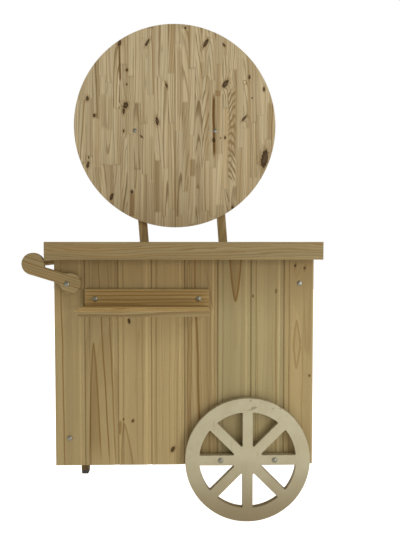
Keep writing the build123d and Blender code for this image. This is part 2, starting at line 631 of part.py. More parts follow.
def make_fasteners():
    """Each row: node, places (x, z), the head's y, the way it points, its grip, its neck."""
    handle_grip = STILE_BACK + SLIDE_GAP + BRACKET_THICKNESS
    rear_handle_grip = STILE_THICKNESS + SLIDE_GAP + BRACKET_THICKNESS
    rear_handle_head = CARCASS_DEPTH + SLIDE_GAP + BRACKET_THICKNESS
    wheel_grip = WHEEL_STANDOFF + WHEEL_THICKNESS
    rows = [
        ("frame_bolts", FRAME_BOLTS, 0, 1, STILE_BACK, True),
        ("shelf_bolts", [(x, CLEAT_BOLT_Z) for x in CLEAT_BOLTS_X],
         -CLEAT_THICKNESS, 1, STILE_BACK + CLEAT_THICKNESS, True),
        ("wheel_bolts", [(x, WHEEL_Z) for x in WHEEL_BOLTS_X],
         -wheel_grip, 1, STILE_BACK + wheel_grip, True),
        ("wheel_bolts", [(x, WHEEL_Z) for x in WHEEL_BOLTS_X],
         CARCASS_DEPTH + wheel_grip, -1, STILE_THICKNESS + wheel_grip, True),
        ("handle_pivot_bolts", HANDLE_BOLTS,
         -SLIDE_GAP - BRACKET_THICKNESS - SLIDE_GAP, 1, handle_grip + SLIDE_GAP, False),
        ("handle_pivot_bolts", HANDLE_BOLTS,
         rear_handle_head + SLIDE_GAP, -1, rear_handle_grip + SLIDE_GAP, False),
        ("sign_base_bolts", [(POST_BASE_X + dx, POST_BASE_Z) for dx in POST_SIDES.values()],
         POST_BACK + SLIDE_GAP, -1, POST_BACK + SLIDE_GAP - REAR_STILE_FRONT, False),
        ("sign_top_bolts", [(POST_TOP_X + dx, POST_TOP_Z) for dx in POST_SIDES.values()],
         SIGN_FRONT, 1, POST_BACK + SLIDE_GAP - SIGN_FRONT, True),
    ]
    bolts = {}
    nuts = {"cart_nuts": [], "sign_nuts": []}
    for node, places, head, toward, grip, neck in rows:
        nut_node = "sign_nuts" if node == "sign_top_bolts" else "cart_nuts"
        for x, z in places:
            bolt = place_bolt(bolt_local(grip, neck), x, head, z, toward)
            bolts.setdefault(node, []).append(bolt)
            for part in nut_local(grip):
                nuts[nut_node].append(place_bolt(part, x, head, z, toward))
    leg_grip = SIDE_BOARD_THICKNESS + LEG_WIDTH
    for z in LEG_BOLTS_Z:
        place = Pos(-PANEL_HALF, LEG_MIDDLE_Y, z) * Rot(0, 0, -90)
        bolts.setdefault("leg_bolts", []).append(
            place * place_bolt(bolt_local(leg_grip), 0, 0, 0, 1)
        )
        for part in nut_local(leg_grip):
            nuts["cart_nuts"].append(place * place_bolt(part, 0, 0, 0, 1))
    for node, solids in {**bolts, **nuts}.items():
        pieces[node] = group(solids)


# --- build and write ----------------------------------------------------------------

make_front_boards()
make_side_boards()
make_stiles()
make_rails()
make_rungs()
make_floor()
make_leg()
make_counter()
make_shelf()
make_wheels()
make_handle()
make_sign()
make_posts()
make_fasteners()

boxes = [shape.bounding_box() for shape in pieces.values()]
low = Vector(*(min(getattr(box.min, axis) for box in boxes) for axis in "XYZ"))
high = Vector(*(max(getattr(box.max, axis) for box in boxes) for axis in "XYZ"))
shift = Vector(-(low.X + high.X) / 2, -(low.Y + high.Y) / 2, -low.Z)

os.makedirs("parts", exist_ok=True)
for name, shape in pieces.items():
    export_step(Pos(shift) * shape, f"parts/{name}.step")
print(len(pieces), "nodes, size", high - low, "shift", shift)
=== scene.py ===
# %% [markdown]
# # A push vending cart in varnished pine
#
# The cart is a plain boarded box with a counter on top, two board wheels that are only
# bolted on, a small shelf, a push handle on the left and a round sign on two posts.
# Its shape is finished before this script starts: every board, bolt and post is loaded as
# a fixed frame. What is left to do here is what a joiner would call the finish: grain,
# knots, varnish, paint, zinc, and the small metal pieces that are nicer when they are
# turned from a profile.

# %% Load the frame
import math
from functools import partialmethod

import bpy
import numpy as np
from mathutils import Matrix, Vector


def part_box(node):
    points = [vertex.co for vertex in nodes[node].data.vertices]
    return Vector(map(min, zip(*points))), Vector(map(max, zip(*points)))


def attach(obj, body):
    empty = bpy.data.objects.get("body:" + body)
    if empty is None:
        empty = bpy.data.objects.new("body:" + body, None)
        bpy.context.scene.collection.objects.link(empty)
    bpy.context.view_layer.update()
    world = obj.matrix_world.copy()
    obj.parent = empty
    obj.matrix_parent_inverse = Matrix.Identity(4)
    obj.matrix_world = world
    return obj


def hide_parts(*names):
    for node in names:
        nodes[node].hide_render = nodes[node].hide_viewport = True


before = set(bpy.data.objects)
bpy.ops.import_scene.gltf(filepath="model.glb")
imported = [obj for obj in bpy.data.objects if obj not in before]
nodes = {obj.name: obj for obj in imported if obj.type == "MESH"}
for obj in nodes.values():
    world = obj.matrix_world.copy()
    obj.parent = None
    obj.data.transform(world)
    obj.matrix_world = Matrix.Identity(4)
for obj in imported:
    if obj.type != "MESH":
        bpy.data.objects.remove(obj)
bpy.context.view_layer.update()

# %% [markdown]
# All the places come from the boxes of the loaded pieces. Patterns are easier to think
# about in millimetres from the middle of the cart and the face of its front panel, so
# those two places are measured first.

# %% Where the cart's own parts are
MM = 0.001


def front_of(node):
    """The middle of a piece's front face."""
    low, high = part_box(node)
    return (low[0] + high[0]) / 2, low[1], (low[2] + high[2]) / 2


counter_low, counter_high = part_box("counter_top")
CART_X = (counter_low[0] + counter_high[0]) / 2
PANEL_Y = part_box("front_board_1")[0][1]
CART_ZERO = (CART_X, PANEL_Y, 0.0)
sign_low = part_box("sign_left_half")[0]
sign_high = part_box("sign_right_half")[1]
SIGN_ZERO = ((sign_low[0] + sign_high[0]) / 2, sign_low[1], (sign_low[2] + sign_high[2]) / 2)
WHEEL_ZERO = front_of("wheel_front")
HANDLE_ZERO = front_of("handle_pivot_bolts")
print("cart middle", CART_ZERO, "sign middle", SIGN_ZERO)

# %% [markdown]
# A shader tree is a drawing made of boxes and wires. Written out in full it is long and
# hard to read, so one small helper adds a box, plugs in its values and hands back its
# output. A value can be a number, a tuple or the output of another box.

# %% A helper for wiring shader nodes
class Wires:
    """Adds nodes to one tree and joins them up."""

    def __init__(self, tree):
        self.tree = tree

    def add(self, kind, values, **settings):
        """One node. values goes from input number or name to a number, tuple or socket."""
        made = self.tree.nodes.new(kind)
        for name, setting in settings.items():
            setattr(made, name, setting)
        for key, value in values.items():
            self.plug(made, key, value)
        return made

    def plug(self, made, key, value):
        """Gives an input of a node a number, a tuple or a link from a socket."""
        if isinstance(value, bpy.types.NodeSocket):
            self.tree.links.new(value, made.inputs[key])
        else:
            made.inputs[key].default_value = value

    def math(self, operation, a, b=0.0, c=0.0):
        """A sum on numbers. The ones in frequent use have names of their own below."""
        return self.add("ShaderNodeMath", {0: a, 1: b, 2: c}, operation=operation).outputs[0]

    plus = partialmethod(math, "ADD")
    minus = partialmethod(math, "SUBTRACT")
    times = partialmethod(math, "MULTIPLY")
    times_plus = partialmethod(math, "MULTIPLY_ADD")
    over = partialmethod(math, "DIVIDE")
    larger = partialmethod(math, "MAXIMUM")
    absolute = partialmethod(math, "ABSOLUTE")
    floor = partialmethod(math, "FLOOR")
    fraction = partialmethod(math, "FRACT")

    def scaled(self, vector, by):
        """A vector times another, part by part."""
        made = self.add("ShaderNodeVectorMath", {0: vector, 1: by}, operation="MULTIPLY")
        return made.outputs[0]

    def moved(self, vector, by):
        """A vector plus another."""
        return self.add("ShaderNodeVectorMath", {0: vector, 1: by}, operation="ADD").outputs[0]

    def parts(self, vector):
        """The three numbers in a vector."""
        return self.add("ShaderNodeSeparateXYZ", {0: vector}).outputs[:3]

    def joined(self, x, y, z):
        """A vector from three numbers."""
        return self.add("ShaderNodeCombineXYZ", {0: x, 1: y, 2: z}).outputs[0]

    def noise(self, vector, scale, detail=2.0, rough=0.5, shift=None):
        """Smooth noise from 0 to 1. scale has the number of blobs a millimetre each way."""
        vector = self.scaled(vector, scale)
        if shift is not None:
            vector = self.moved(vector, shift)
        values = {"Vector": vector, "Scale": 1.0, "Detail": detail, "Roughness": rough}
        return self.add("ShaderNodeTexNoise", values).outputs[0]

    def wave_of(self, value, detail=1.0):
        """Smooth noise from 0 to 1 along one number."""
        values = {"W": value, "Scale": 1.0, "Detail": detail}
        return self.add("ShaderNodeTexNoise", values, noise_dimensions="1D").outputs[0]

    def dice(self, value):
        """A number from 0 to 1 that is fixed for each whole value."""
        return self.add("ShaderNodeTexWhiteNoise", {"W": value}, noise_dimensions="1D").outputs[0]

    def step(self, value, low, high, start=0.0, end=1.0):
        """Goes smoothly from start to end as value goes from low to high."""
        values = {"Value": value, "From Min": low, "From Max": high, "To Min": start, "To Max": end}
        made = self.add("ShaderNodeMapRange", values, interpolation_type="SMOOTHSTEP")
        return made.outputs[0]

    def distance(self, a, b):
        """The long side of a right-angled triangle with sides a and b."""
        return self.math("SQRT", self.times_plus(a, a, self.times(b, b)))

    def fall(self, value, low, high):
        """Goes smoothly from 1 to 0 as value goes from low to high."""
        return self.step(value, low, high, 1.0, 0.0)

    def swing(self, value, amount, middle):
        """middle plus amount times how far value is from a half."""
        return self.times_plus(self.minus(value, 0.5), amount, middle)

    def largest(self, masks):
        """The highest of several masks, or zero where there is none."""
        top = 0.0
        for mask in masks:
            top = self.larger(mask, top)
        return top

    def blend(self, factor, a, b, how="MIX"):
        """Two colours mixed."""
        made = self.add("ShaderNodeMix", {0: factor, 6: a, 7: b}, data_type="RGBA", blend_type=how)
        return made.outputs[2]

    def lit(self, colour, light):
        """A colour times a number."""
        return self.blend(1.0, colour, self.joined(light, light, light), "MULTIPLY")

    def group(self, name, **values):
        """A node group that was built earlier, with its inputs named in plain words."""
        made = self.tree.nodes.new("ShaderNodeGroup")
        made.node_tree = bpy.data.node_groups[name]
        for key, value in values.items():
            self.plug(made, key.replace("_", " "), value)
        return made.outputs

    def facing(self, axis):
        """How far the surface faces along x, y or z, by its number."""
        return self.parts(self.add("ShaderNodeTexCoord", {}).outputs["Normal"])[axis]


KINDS = {"VALUE": "NodeSocketFloat", "VECTOR": "NodeSocketVector", "RGBA": "NodeSocketColor"}
KIND_OF_SIZE = {1: "VALUE", 3: "VECTOR", 4: "RGBA"}


def new_group(name, **inputs):
    """Starts a node group and returns its wires, its inputs by name and a way to close it.

    An input is a number, a vector of three or a colour of four, and keeps that value where
    nothing is plugged in. close names the outputs and what feeds them.
    """
    tree = bpy.data.node_groups.new(name, "ShaderNodeTree")

    def new_socket(key, way, kind):
        return tree.interface.new_socket(key.replace("_", " "), in_out=way, socket_type=KINDS[kind])

    for key, value in inputs.items():
        new_socket(key, "INPUT", KIND_OF_SIZE[np.size(value)]).default_value = value

    def close(**results):
        end = tree.nodes.new("NodeGroupOutput")
        for key, result in results.items():
            new_socket(key, "OUTPUT", result.type)
            tree.links.new(result, end.inputs[key.replace("_", " ")])

    return Wires(tree), tree.nodes.new("NodeGroupInput").outputs, close


# %% [markdown]
# ## Wood is rings
#
# A pine board is a slice out of a trunk, and the trunk is a stack of cones. The figure on
# the board is where its face cuts those cones: straight lines where the middle of the
# trunk, the pith, lies far to one side, and pointed arches where it lies just behind the
# board and leans. A flat picture wrapped round the board would break at each edge. Rings
# worked out in space run over the edges and down the end grain as the real ones do.
#
# Each ring starts pale and wide in spring and ends in a thin dark summer line that stops
# suddenly, so the band rises slowly and falls fast.

# %% The ring figure
# The position holds millimetres across the face, into the board and along the grain.
wires, given, close = new_group(
    "Ring Figure", Position=(0, 0, 0), Pith_Across=0.0, Pith_Depth=40.0, Lean=20.0, Ring_Width=6.0,
    Wander=6.0, Bulge=0.0, Seed=0.0, Rise_From=0.28)
place = given["Position"]
across, depth, along = wires.parts(place)
seed = given["Seed"]
# the pith drifts sideways and in and out on its way up the trunk
drift = wires.wave_of(wires.times_plus(along, 0.0017, wires.times(seed, 13.7)))
drift = wires.times(wires.minus(drift, 0.5), given["Wander"])
pith_x = wires.times_plus(drift, 2.0, given["Pith Across"])
pith_y = wires.times_plus(wires.times(along, MM), given["Lean"], given["Pith Depth"])
offset_x = wires.minus(across, pith_x)
offset_y = wires.minus(depth, pith_y)
radius = wires.plus(wires.distance(offset_x, offset_y), given["Bulge"])
shake = wires.noise(place, (0.035, 0.035, 0.004), shift=wires.joined(seed, 0.0, 0.0))
radius = wires.swing(shake, given["Wander"], radius)
rings = wires.over(radius, given["Ring Width"])
# good and bad years make wide and narrow rings
years = wires.wave_of(wires.times_plus(rings, 0.41, seed))
rings = wires.times_plus(years, 1.6, rings)
share = wires.fraction(rings)
year = wires.floor(rings)
rise = wires.step(share, given["Rise From"], 0.88)
band = wires.times(rise, wires.fall(share, 0.93, 1.0))
strong = wires.times_plus(wires.dice(wires.plus(year, seed)), 0.7, 0.3)
tone = wires.dice(wires.times_plus(year, 1.7, seed))
fibre = wires.noise(place, (0.8, 0.8, 0.012), 3.0, 0.65)
streak = wires.noise(place, (0.05, 0.05, 0.0011), 2.0, 0.6, wires.joined(seed, seed, 0.0))
canal = wires.noise(place, (1.5, 1.5, 0.09), 0.0)
close(Summer_Wood=wires.times(band, strong), Ring_Tone=tone, Fibre=fibre,
      Streak=streak, Canals=wires.step(canal, 0.70, 0.80))
print("Ring Figure:", len(wires.tree.nodes), "nodes")

# %% [markdown]
# ## Knots
#
# A knot is the foot of a branch. The rings have to swerve round it, its core is darker
# and harder than the board, and where the branch was dead it sits in a thin black collar
# of bark. The group gives the masks for the core, the collar and the stained wood round
# it, and a bulge that is added to the ring radius so that the figure swerves.

# %% The knot
wires, given, close = new_group(
    "Knot", Position=(0, 0, 0), Across=0.0, Along=0.0, Radius=6.0, Stretch=1.4, Tilt=0.0, Seed=0.0)
place = given["Position"]
across, _, along = wires.parts(place)
away_x = wires.minus(across, given["Across"])
away_z = wires.minus(along, given["Along"])
leaning = wires.minus(away_x, wires.times(away_z, given["Tilt"]))
squeezed = wires.over(away_z, given["Stretch"])
ragged = wires.noise(place, (0.16, 0.16, 0.10), shift=wires.joined(given["Seed"], 0.0, 0.0))
reach = wires.over(wires.distance(leaning, squeezed), given["Radius"])
reach = wires.plus(reach, wires.times(wires.minus(ragged, 0.5), 0.9))
splinters = wires.noise(place, (0.9, 0.9, 0.35), 2.0, 0.7)
reach = wires.swing(splinters, 0.5, reach)
years = wires.over(wires.math("PINGPONG", reach, 0.11), 0.11)
centre = wires.times_plus(years, 0.16, wires.step(reach, 0.2, 0.85, 0.68, 0.86))
core = wires.times(wires.fall(reach, 0.88, 1.02), centre)
collar = wires.times(wires.step(reach, 0.7, 0.95), wires.fall(reach, 1.02, 1.2))
fade = wires.over(1.0, wires.times_plus(reach, reach, 1.0))
close(Core=core, Collar=collar, Stain=wires.fall(reach, 0.9, 2.4),
      Bulge=wires.times(fade, wires.times(given["Radius"], 1.5)))

# %% [markdown]
# ## Single marks
#
# Some lines belong to one board only: a dark resin streak that slants across it, or one
# filled arch. A streak is a soft line between a place at the top of the board and a place
# at its foot. A flame is an arch: its half width grows with the square root of the
# distance below its tip, which is the curve that a plane cuts from a cone.

# %% The streak and the flame
wires, given, close = new_group(
    "Streak Line", Position=(0, 0, 0), Top=0.0, Foot=0.0, Width=3.0, From=200.0, To=900.0,
    Strength=1.0, Flat_Part=0.0)
across, _, along = wires.parts(given["Position"])
low = wires.minus(along, given["From"])
share = wires.over(low, wires.minus(given["To"], given["From"]))
lift = wires.times(wires.minus(given["Top"], given["Foot"]), share)
middle = wires.plus(given["Foot"], lift)
wobble = wires.minus(wires.wave_of(wires.times_plus(along, 0.006, given["Top"])), 0.5)
away = wires.absolute(wires.minus(across, wires.times_plus(wobble, 5.0, middle)))
line = wires.fall(wires.over(away, given["Width"]), given["Flat Part"], 1.0)
ends = wires.times(wires.step(share, -0.06, 0.1), wires.fall(share, 0.9, 1.06))
close(Mask=wires.times(wires.times(line, ends), given["Strength"]))

wires, given, close = new_group(
    "Flame", Position=(0, 0, 0), Tip_Across=0.0, Tip_Along=600.0, Spread=15.0, Length=-400.0,
    Drift=0.0)
across, _, along = wires.parts(given["Position"])
share = wires.over(wires.minus(along, given["Tip Along"]), given["Length"])
inside = wires.larger(share, 0.0)
half = wires.times(wires.math("SQRT", inside), given["Spread"])
middle = wires.times_plus(inside, given["Drift"], given["Tip Across"])
away = wires.absolute(wires.minus(across, middle))
edge = wires.minus(half, away)
fill = wires.times(wires.step(edge, -1.0, 3.0), wires.step(share, 0.0, 0.03))
fill = wires.times(fill, wires.fall(share, 0.75, 1.0))
line = wires.times(fill, wires.fall(edge, 3.0, 9.0))
close(Line=line, Fill=fill)

# where the pith wanders through the face the rings are cut as slanting bands, one under
# another, and the slant turns over on the way down
wires, given, close = new_group(
    "Slanting Bands", Position=(0, 0, 0), Middle=0.0, Half_Width=14.0, From=-200.0, To=150.0,
    Pitch=30.0)
place = given["Position"]
across, _, along = wires.parts(place)
away = wires.minus(across, given["Middle"])
slant = wires.times(wires.step(along, -150.0, 90.0, 1.6, -1.7), away)
curl = wires.times(wires.times(away, away), 0.03)
bent = wires.plus(wires.plus(along, slant), curl)
jolt = wires.noise(place, (0.04, 0.0, 0.016), 1.0)
bent = wires.times_plus(jolt, 46.0, bent)
share = wires.fraction(wires.over(bent, given["Pitch"]))
band = wires.times(wires.step(share, 0.30, 0.60), wires.fall(share, 0.80, 0.98))
inside = wires.step(wires.minus(given["Half Width"], wires.absolute(away)), -2.0, 4.0)
above = wires.step(wires.minus(along, given["From"]), -10.0, 20.0)
below = wires.step(wires.minus(given["To"], along), -10.0, 20.0)
within = wires.times(inside, wires.times(above, below))
close(Mask=wires.times(band, within))
print("groups:", [tree.name for tree in bpy.data.node_groups])

# %% [markdown]
# ## Edge-glued boards
#
# The counter and the round sign are sold as glued pine panels. Short clean blocks are cut
# with little fingers at their ends, glued into long strips, and the strips are glued side
# by side. Each block is from another tree, so its tone and its rings are its own. The
# group works out which block a point is in, and gives dice for that block. The joint
# between two blocks is a zigzag, because it runs round the fingers.

# %% The finger-jointed panel
wires, given, close = new_group(
    "Glued Strips", Position=(0, 0, 0), Strip_Width=28.0, Block_Length=300.0, Finger=9.0, Seed=0.0)
across, depth, along = wires.parts(given["Position"])
strips = wires.over(across, given["Strip Width"])
strip = wires.floor(strips)
strip_dice = wires.dice(wires.times_plus(strip, 3.1, given["Seed"]))
fingers = wires.math("PINGPONG", across, 2.2)
zigzag = wires.times(wires.over(fingers, 2.2), given["Finger"])
run = wires.over(wires.plus(along, zigzag), given["Block Length"])
run = wires.times_plus(strip_dice, 7.3, run)
# uneven block lengths: the count runs ahead and falls back along the strip
uneven = wires.math("SINE", wires.times_plus(run, 4.1, wires.times(strip_dice, 40.0)))
run = wires.times_plus(uneven, 0.17, run)
block = wires.floor(run)
name_of_block = wires.joined(strip, block, given["Seed"])
dice = wires.add("ShaderNodeTexWhiteNoise", {"Vector": name_of_block}, noise_dimensions="3D")
red, green, blue = wires.parts(dice.outputs["Color"])
seam = wires.minus(strips, strip)
seam = wires.times(wires.math("PINGPONG", seam, 0.5), given["Strip Width"])
butt = wires.minus(run, block)
butt = wires.times(wires.math("PINGPONG", butt, 0.5), given["Block Length"])
glue = wires.larger(wires.step(seam, 0.2, 0.8, 0.6, 0.0), wires.fall(butt, 0.3, 1.2))
local = wires.minus(across, wires.times(strip, given["Strip Width"]))
close(Dice_A=red, Dice_B=green, Dice_C=blue, Glue=glue,
      Block_Position=wires.joined(local, depth, wires.times_plus(green, 900.0, along)))

# %% [markdown]
# ## From masks to colour
#
# Pine has three colours that matter: pale spring wood, amber summer wood, and the red
# brown of knots. Varnish makes all of them a little deeper. The same group also gives the
# roughness, since the hard dark lines take a better polish than the soft pale wood, and a
# height, since planing leaves the hard lines standing a few hundredths proud.

# %% Pine colour
SPRING, SUMMER = (0.43, 0.325, 0.155, 1), (0.20, 0.115, 0.035, 1)
AMBER, HEART_BROWN = (0.32, 0.21, 0.08, 1), (0.21, 0.112, 0.026, 1)
KNOT_BLACK = (0.034, 0.014, 0.003, 1)
wires, given, close = new_group(
    "Pine Finish", Summer_Wood=0.0, Ring_Tone=0.5, Fibre=0.5, Streak=0.5, Canals=0.0, Brown=0.0,
    Dark=0.0, Shade=1.0, Contrast=1.0, Spring_Colour=SPRING, Summer_Colour=SUMMER)
amount = wires.times(given["Summer Wood"], given["Contrast"])
colour = wires.blend(amount, given["Spring Colour"], given["Summer Colour"])
warm = wires.step(given["Streak"], 0.42, 0.68, 0.0, 0.45)
warm = wires.times(warm, given["Contrast"])
colour = wires.blend(warm, colour, AMBER)
colour = wires.blend(given["Brown"], colour, HEART_BROWN)
light = wires.swing(given["Ring Tone"], 0.14, 1.0)
light = wires.swing(given["Fibre"], 0.34, light)
light = wires.times(light, given["Shade"])
light = wires.times(light, wires.times_plus(given["Canals"], -0.28, 1.0))
colour = wires.lit(colour, light)
colour = wires.blend(given["Dark"], colour, KNOT_BLACK)
rough = wires.times_plus(given["Summer Wood"], -0.10, 0.56)
rough = wires.times_plus(given["Fibre"], 0.12, rough)
height = wires.times_plus(given["Summer Wood"], 0.6, wires.times(given["Fibre"], 0.5))
height = wires.times_plus(given["Dark"], -0.8, height)
close(Colour=colour, Roughness=rough, Height=height)

# %% [markdown]
# ## One function for every pine piece
#
# The Principled shader stays in each material, and the groups feed it. Each piece says
# which way its grain runs, where the pith of its tree lies, and which knots, streaks and
# flames are its own. A board of the front panel is also darker in its grooves, from dust
# and from painted shade, and darker and browner near the counter, which is painted shade
# under the counter's overhang. Beside each joint it has a painted highlight, and faces that
# look up or sideways can be painted lighter or darker, as the light falls on them.

# %% The pine material
# which of x, y and z goes across the board, into it and along its grain
GRAIN_UP = (0, 1, 2)
GRAIN_RIGHT = (2, 1, 0)
GRAIN_BACK = (0, 2, 1)
SIDE_GRAIN_UP = (1, 0, 2)
SIDE_GRAIN_BACK = (2, 0, 1)
LAID_GRAIN_RIGHT = (1, 2, 0)


def start_material(name):
    """A new material with its Principled shader and a helper for its wires."""
    material = bpy.data.materials.new(name)
    material.use_nodes = True
    wires = Wires(material.node_tree)
    return material, wires, material.node_tree.nodes["Principled BSDF"]


def millimetres(wires, zero, order=GRAIN_UP, turn=0.0):
    """Object coordinates in millimetres from zero, as across, depth and along the grain."""
    place = wires.add("ShaderNodeTexCoord", {}).outputs["Object"]
    place = wires.moved(place, tuple(-value for value in zero))
    if turn:
        values = {"Vector": place, "Axis": (0, 1, 0), "Angle": math.radians(turn)}
        place = wires.add("ShaderNodeVectorRotate", values).outputs[0]
    parts = wires.parts(wires.scaled(place, (1 / MM, 1 / MM, 1 / MM)))
    return wires.joined(*(parts[number] for number in order))


VARNISH_SHINE = 0.16
# the front panel, in millimetres: its boards' width and joints, how deep their grooves lie
# and how much darker they are painted there for dust and shade, the painted highlight on the
# edge beside each joint, and the painted shade under the counter, which makes the boards
# darker and browner on their way up to it: from this height to that, from this strength to that
BOARD_COVER = 110.0
FIRST_JOINT = 3 * BOARD_COVER
GROOVE_DEPTH, GROOVE_DUST_AND_SHADE = (1.7, 4.0), 0.8
ARRIS, ARRIS_PAINTED_HIGHLIGHT = BOARD_COVER - 15.0, 1.13
PAINTED_COUNTER_SHADE, PAINTED_COUNTER_SHADOW_BROWN = (640.0, 905.0, 1.0, 0.85), (620.0, 905.0, 0.0, 0.46)
COLLAR_DARK, STAIN_BROWN, FLAME_BROWN = 0.85, 0.55, 0.45


def finish_surface(wires, shader, colour, rough, height, bump=0.15, distance=0.0004):
    """Plugs colour, roughness and a bump into the Principled shader."""
    wires.plug(shader, "Base Color", colour)
    wires.plug(shader, "Roughness", rough)
    values = {"Strength": bump, "Distance": distance, "Height": height}
    wires.plug(shader, "Normal", wires.add("ShaderNodeBump", values).outputs[0])


def knot_at(wires, place, seed, across, along, radius, stretch, tilt):
    """One knot, in millimetres on a board."""
    return wires.group("Knot", Position=place, Across=across, Along=along, Radius=radius,
                       Stretch=stretch, Tilt=tilt, Seed=seed)


def line_at(wires, place, top, foot, width, start, end, strength, flat=0.0):
    """The mask of one streak."""
    return wires.group("Streak Line", Position=place, Top=top, Foot=foot, Width=width, From=start,
                       To=end, Strength=strength, Flat_Part=flat)["Mask"]


FIGURE_PARTS = ("Summer_Wood", "Ring_Tone", "Fibre", "Streak", "Canals")


def finished(wires, figure, **own):
    """The pine finish of a ring figure, with what the piece has of its own."""
    values = {part: figure[part.replace("_", " ")] for part in FIGURE_PARTS}
    return wires.group("Pine Finish", **{**values, **own})


def dress(node, material):
    """Gives a loaded piece its material."""
    for slot in nodes[node].material_slots:
        slot.material = material


def pine(node, zero, order=GRAIN_UP, pith=(0, 40), lean=20, ring=6, wander=6, seed=0,
         knots=(), streaks=(), flames=(), shade=1.0, contrast=1.0, panel=False, turn=0.0,
         spring=SPRING, summer=SUMMER, painted_top_light=1.0, painted_side_light=1.0):
    """Gives a loaded piece a pine material of its own.

    knots are (across, along, radius, stretch, tilt, darkness), streaks are (top, foot,
    width, from, to, strength) and flames are (tip across, tip along, spread, length,
    drift, fill). A board of the front panel is darker in its grooves, from dust and painted
    shade, and towards the counter, from painted shade, and it has a painted highlight beside
    each joint. The top and side light numbers paint light and shade on the faces that look
    up and on those that look sideways.
    """
    material, wires, shader = start_material(node.replace("_", " "))
    place = millimetres(wires, zero, order, turn)
    dark, brown, bulge = [], [], 0.0
    for number, (*where, darkness) in enumerate(knots):
        knot = knot_at(wires, place, seed + number, *where)
        dark.append(wires.times(knot["Core"], darkness))
        dark.append(wires.times(knot["Collar"], COLLAR_DARK))
        brown.append(wires.times(knot["Stain"], STAIN_BROWN))
        bulge = wires.plus(knot["Bulge"], bulge)
    for streak in streaks:
        brown.append(line_at(wires, place, *streak))
    for across, along, spread, length, drift, fill in flames:
        flame = wires.group("Flame", Position=place, Tip_Across=across, Tip_Along=along,
                            Spread=spread, Length=length, Drift=drift)
        brown.append(wires.times_plus(flame["Fill"], fill, wires.times(flame["Line"], FLAME_BROWN)))
    figure = wires.group("Ring Figure", Position=place, Pith_Across=pith[0], Pith_Depth=pith[1],
                         Lean=lean, Ring_Width=ring, Wander=wander, Bulge=bulge, Seed=seed)
    light = shade
    if panel:
        across, depth, along = wires.parts(place)
        # painted shade and dust: deep in the grooves the boards are darker
        light = wires.times(wires.step(depth, *GROOVE_DEPTH, 1.0, GROOVE_DUST_AND_SHADE), shade)
        # painted shade under the counter's overhang: darker and browner towards the top
        light = wires.times(wires.step(along, *PAINTED_COUNTER_SHADE), light)
        brown.append(wires.step(along, *PAINTED_COUNTER_SHADOW_BROWN))
        # painted highlight: a lighter strip on the edge beside each joint
        cover = wires.over(wires.plus(across, FIRST_JOINT), BOARD_COVER)
        on_board = wires.times(wires.fraction(cover), BOARD_COVER)
        wear_and_highlight = wires.absolute(wires.minus(on_board, ARRIS))
        light = wires.times(wires.step(wear_and_highlight, 1.0, 3.5, ARRIS_PAINTED_HIGHLIGHT, 1.0), light)
    # painted light and shade: faces that look up get the top number, the others the side number
    if painted_top_light != painted_side_light:
        light = wires.times(wires.step(wires.facing(2), 0.3, 0.8, painted_side_light, painted_top_light), light)
    look = finished(wires, figure, Brown=wires.largest(brown), Dark=wires.largest(dark),
                    Shade=light, Contrast=contrast, Spring_Colour=spring, Summer_Colour=summer)
    finish_surface(wires, shader, look["Colour"], look["Roughness"], look["Height"])
    wires.plug(shader, "Specular IOR Level", VARNISH_SHINE)
    dress(node, material)

# %% [markdown]
# ## The front panel
#
# Eight tongue-and-groove boards. Each is from another tree, and a customer looks at them
# from a metre away, so each gets its own pith, knots and marks. Numbers are millimetres:
# across from the middle of the cart, and up from the ground.

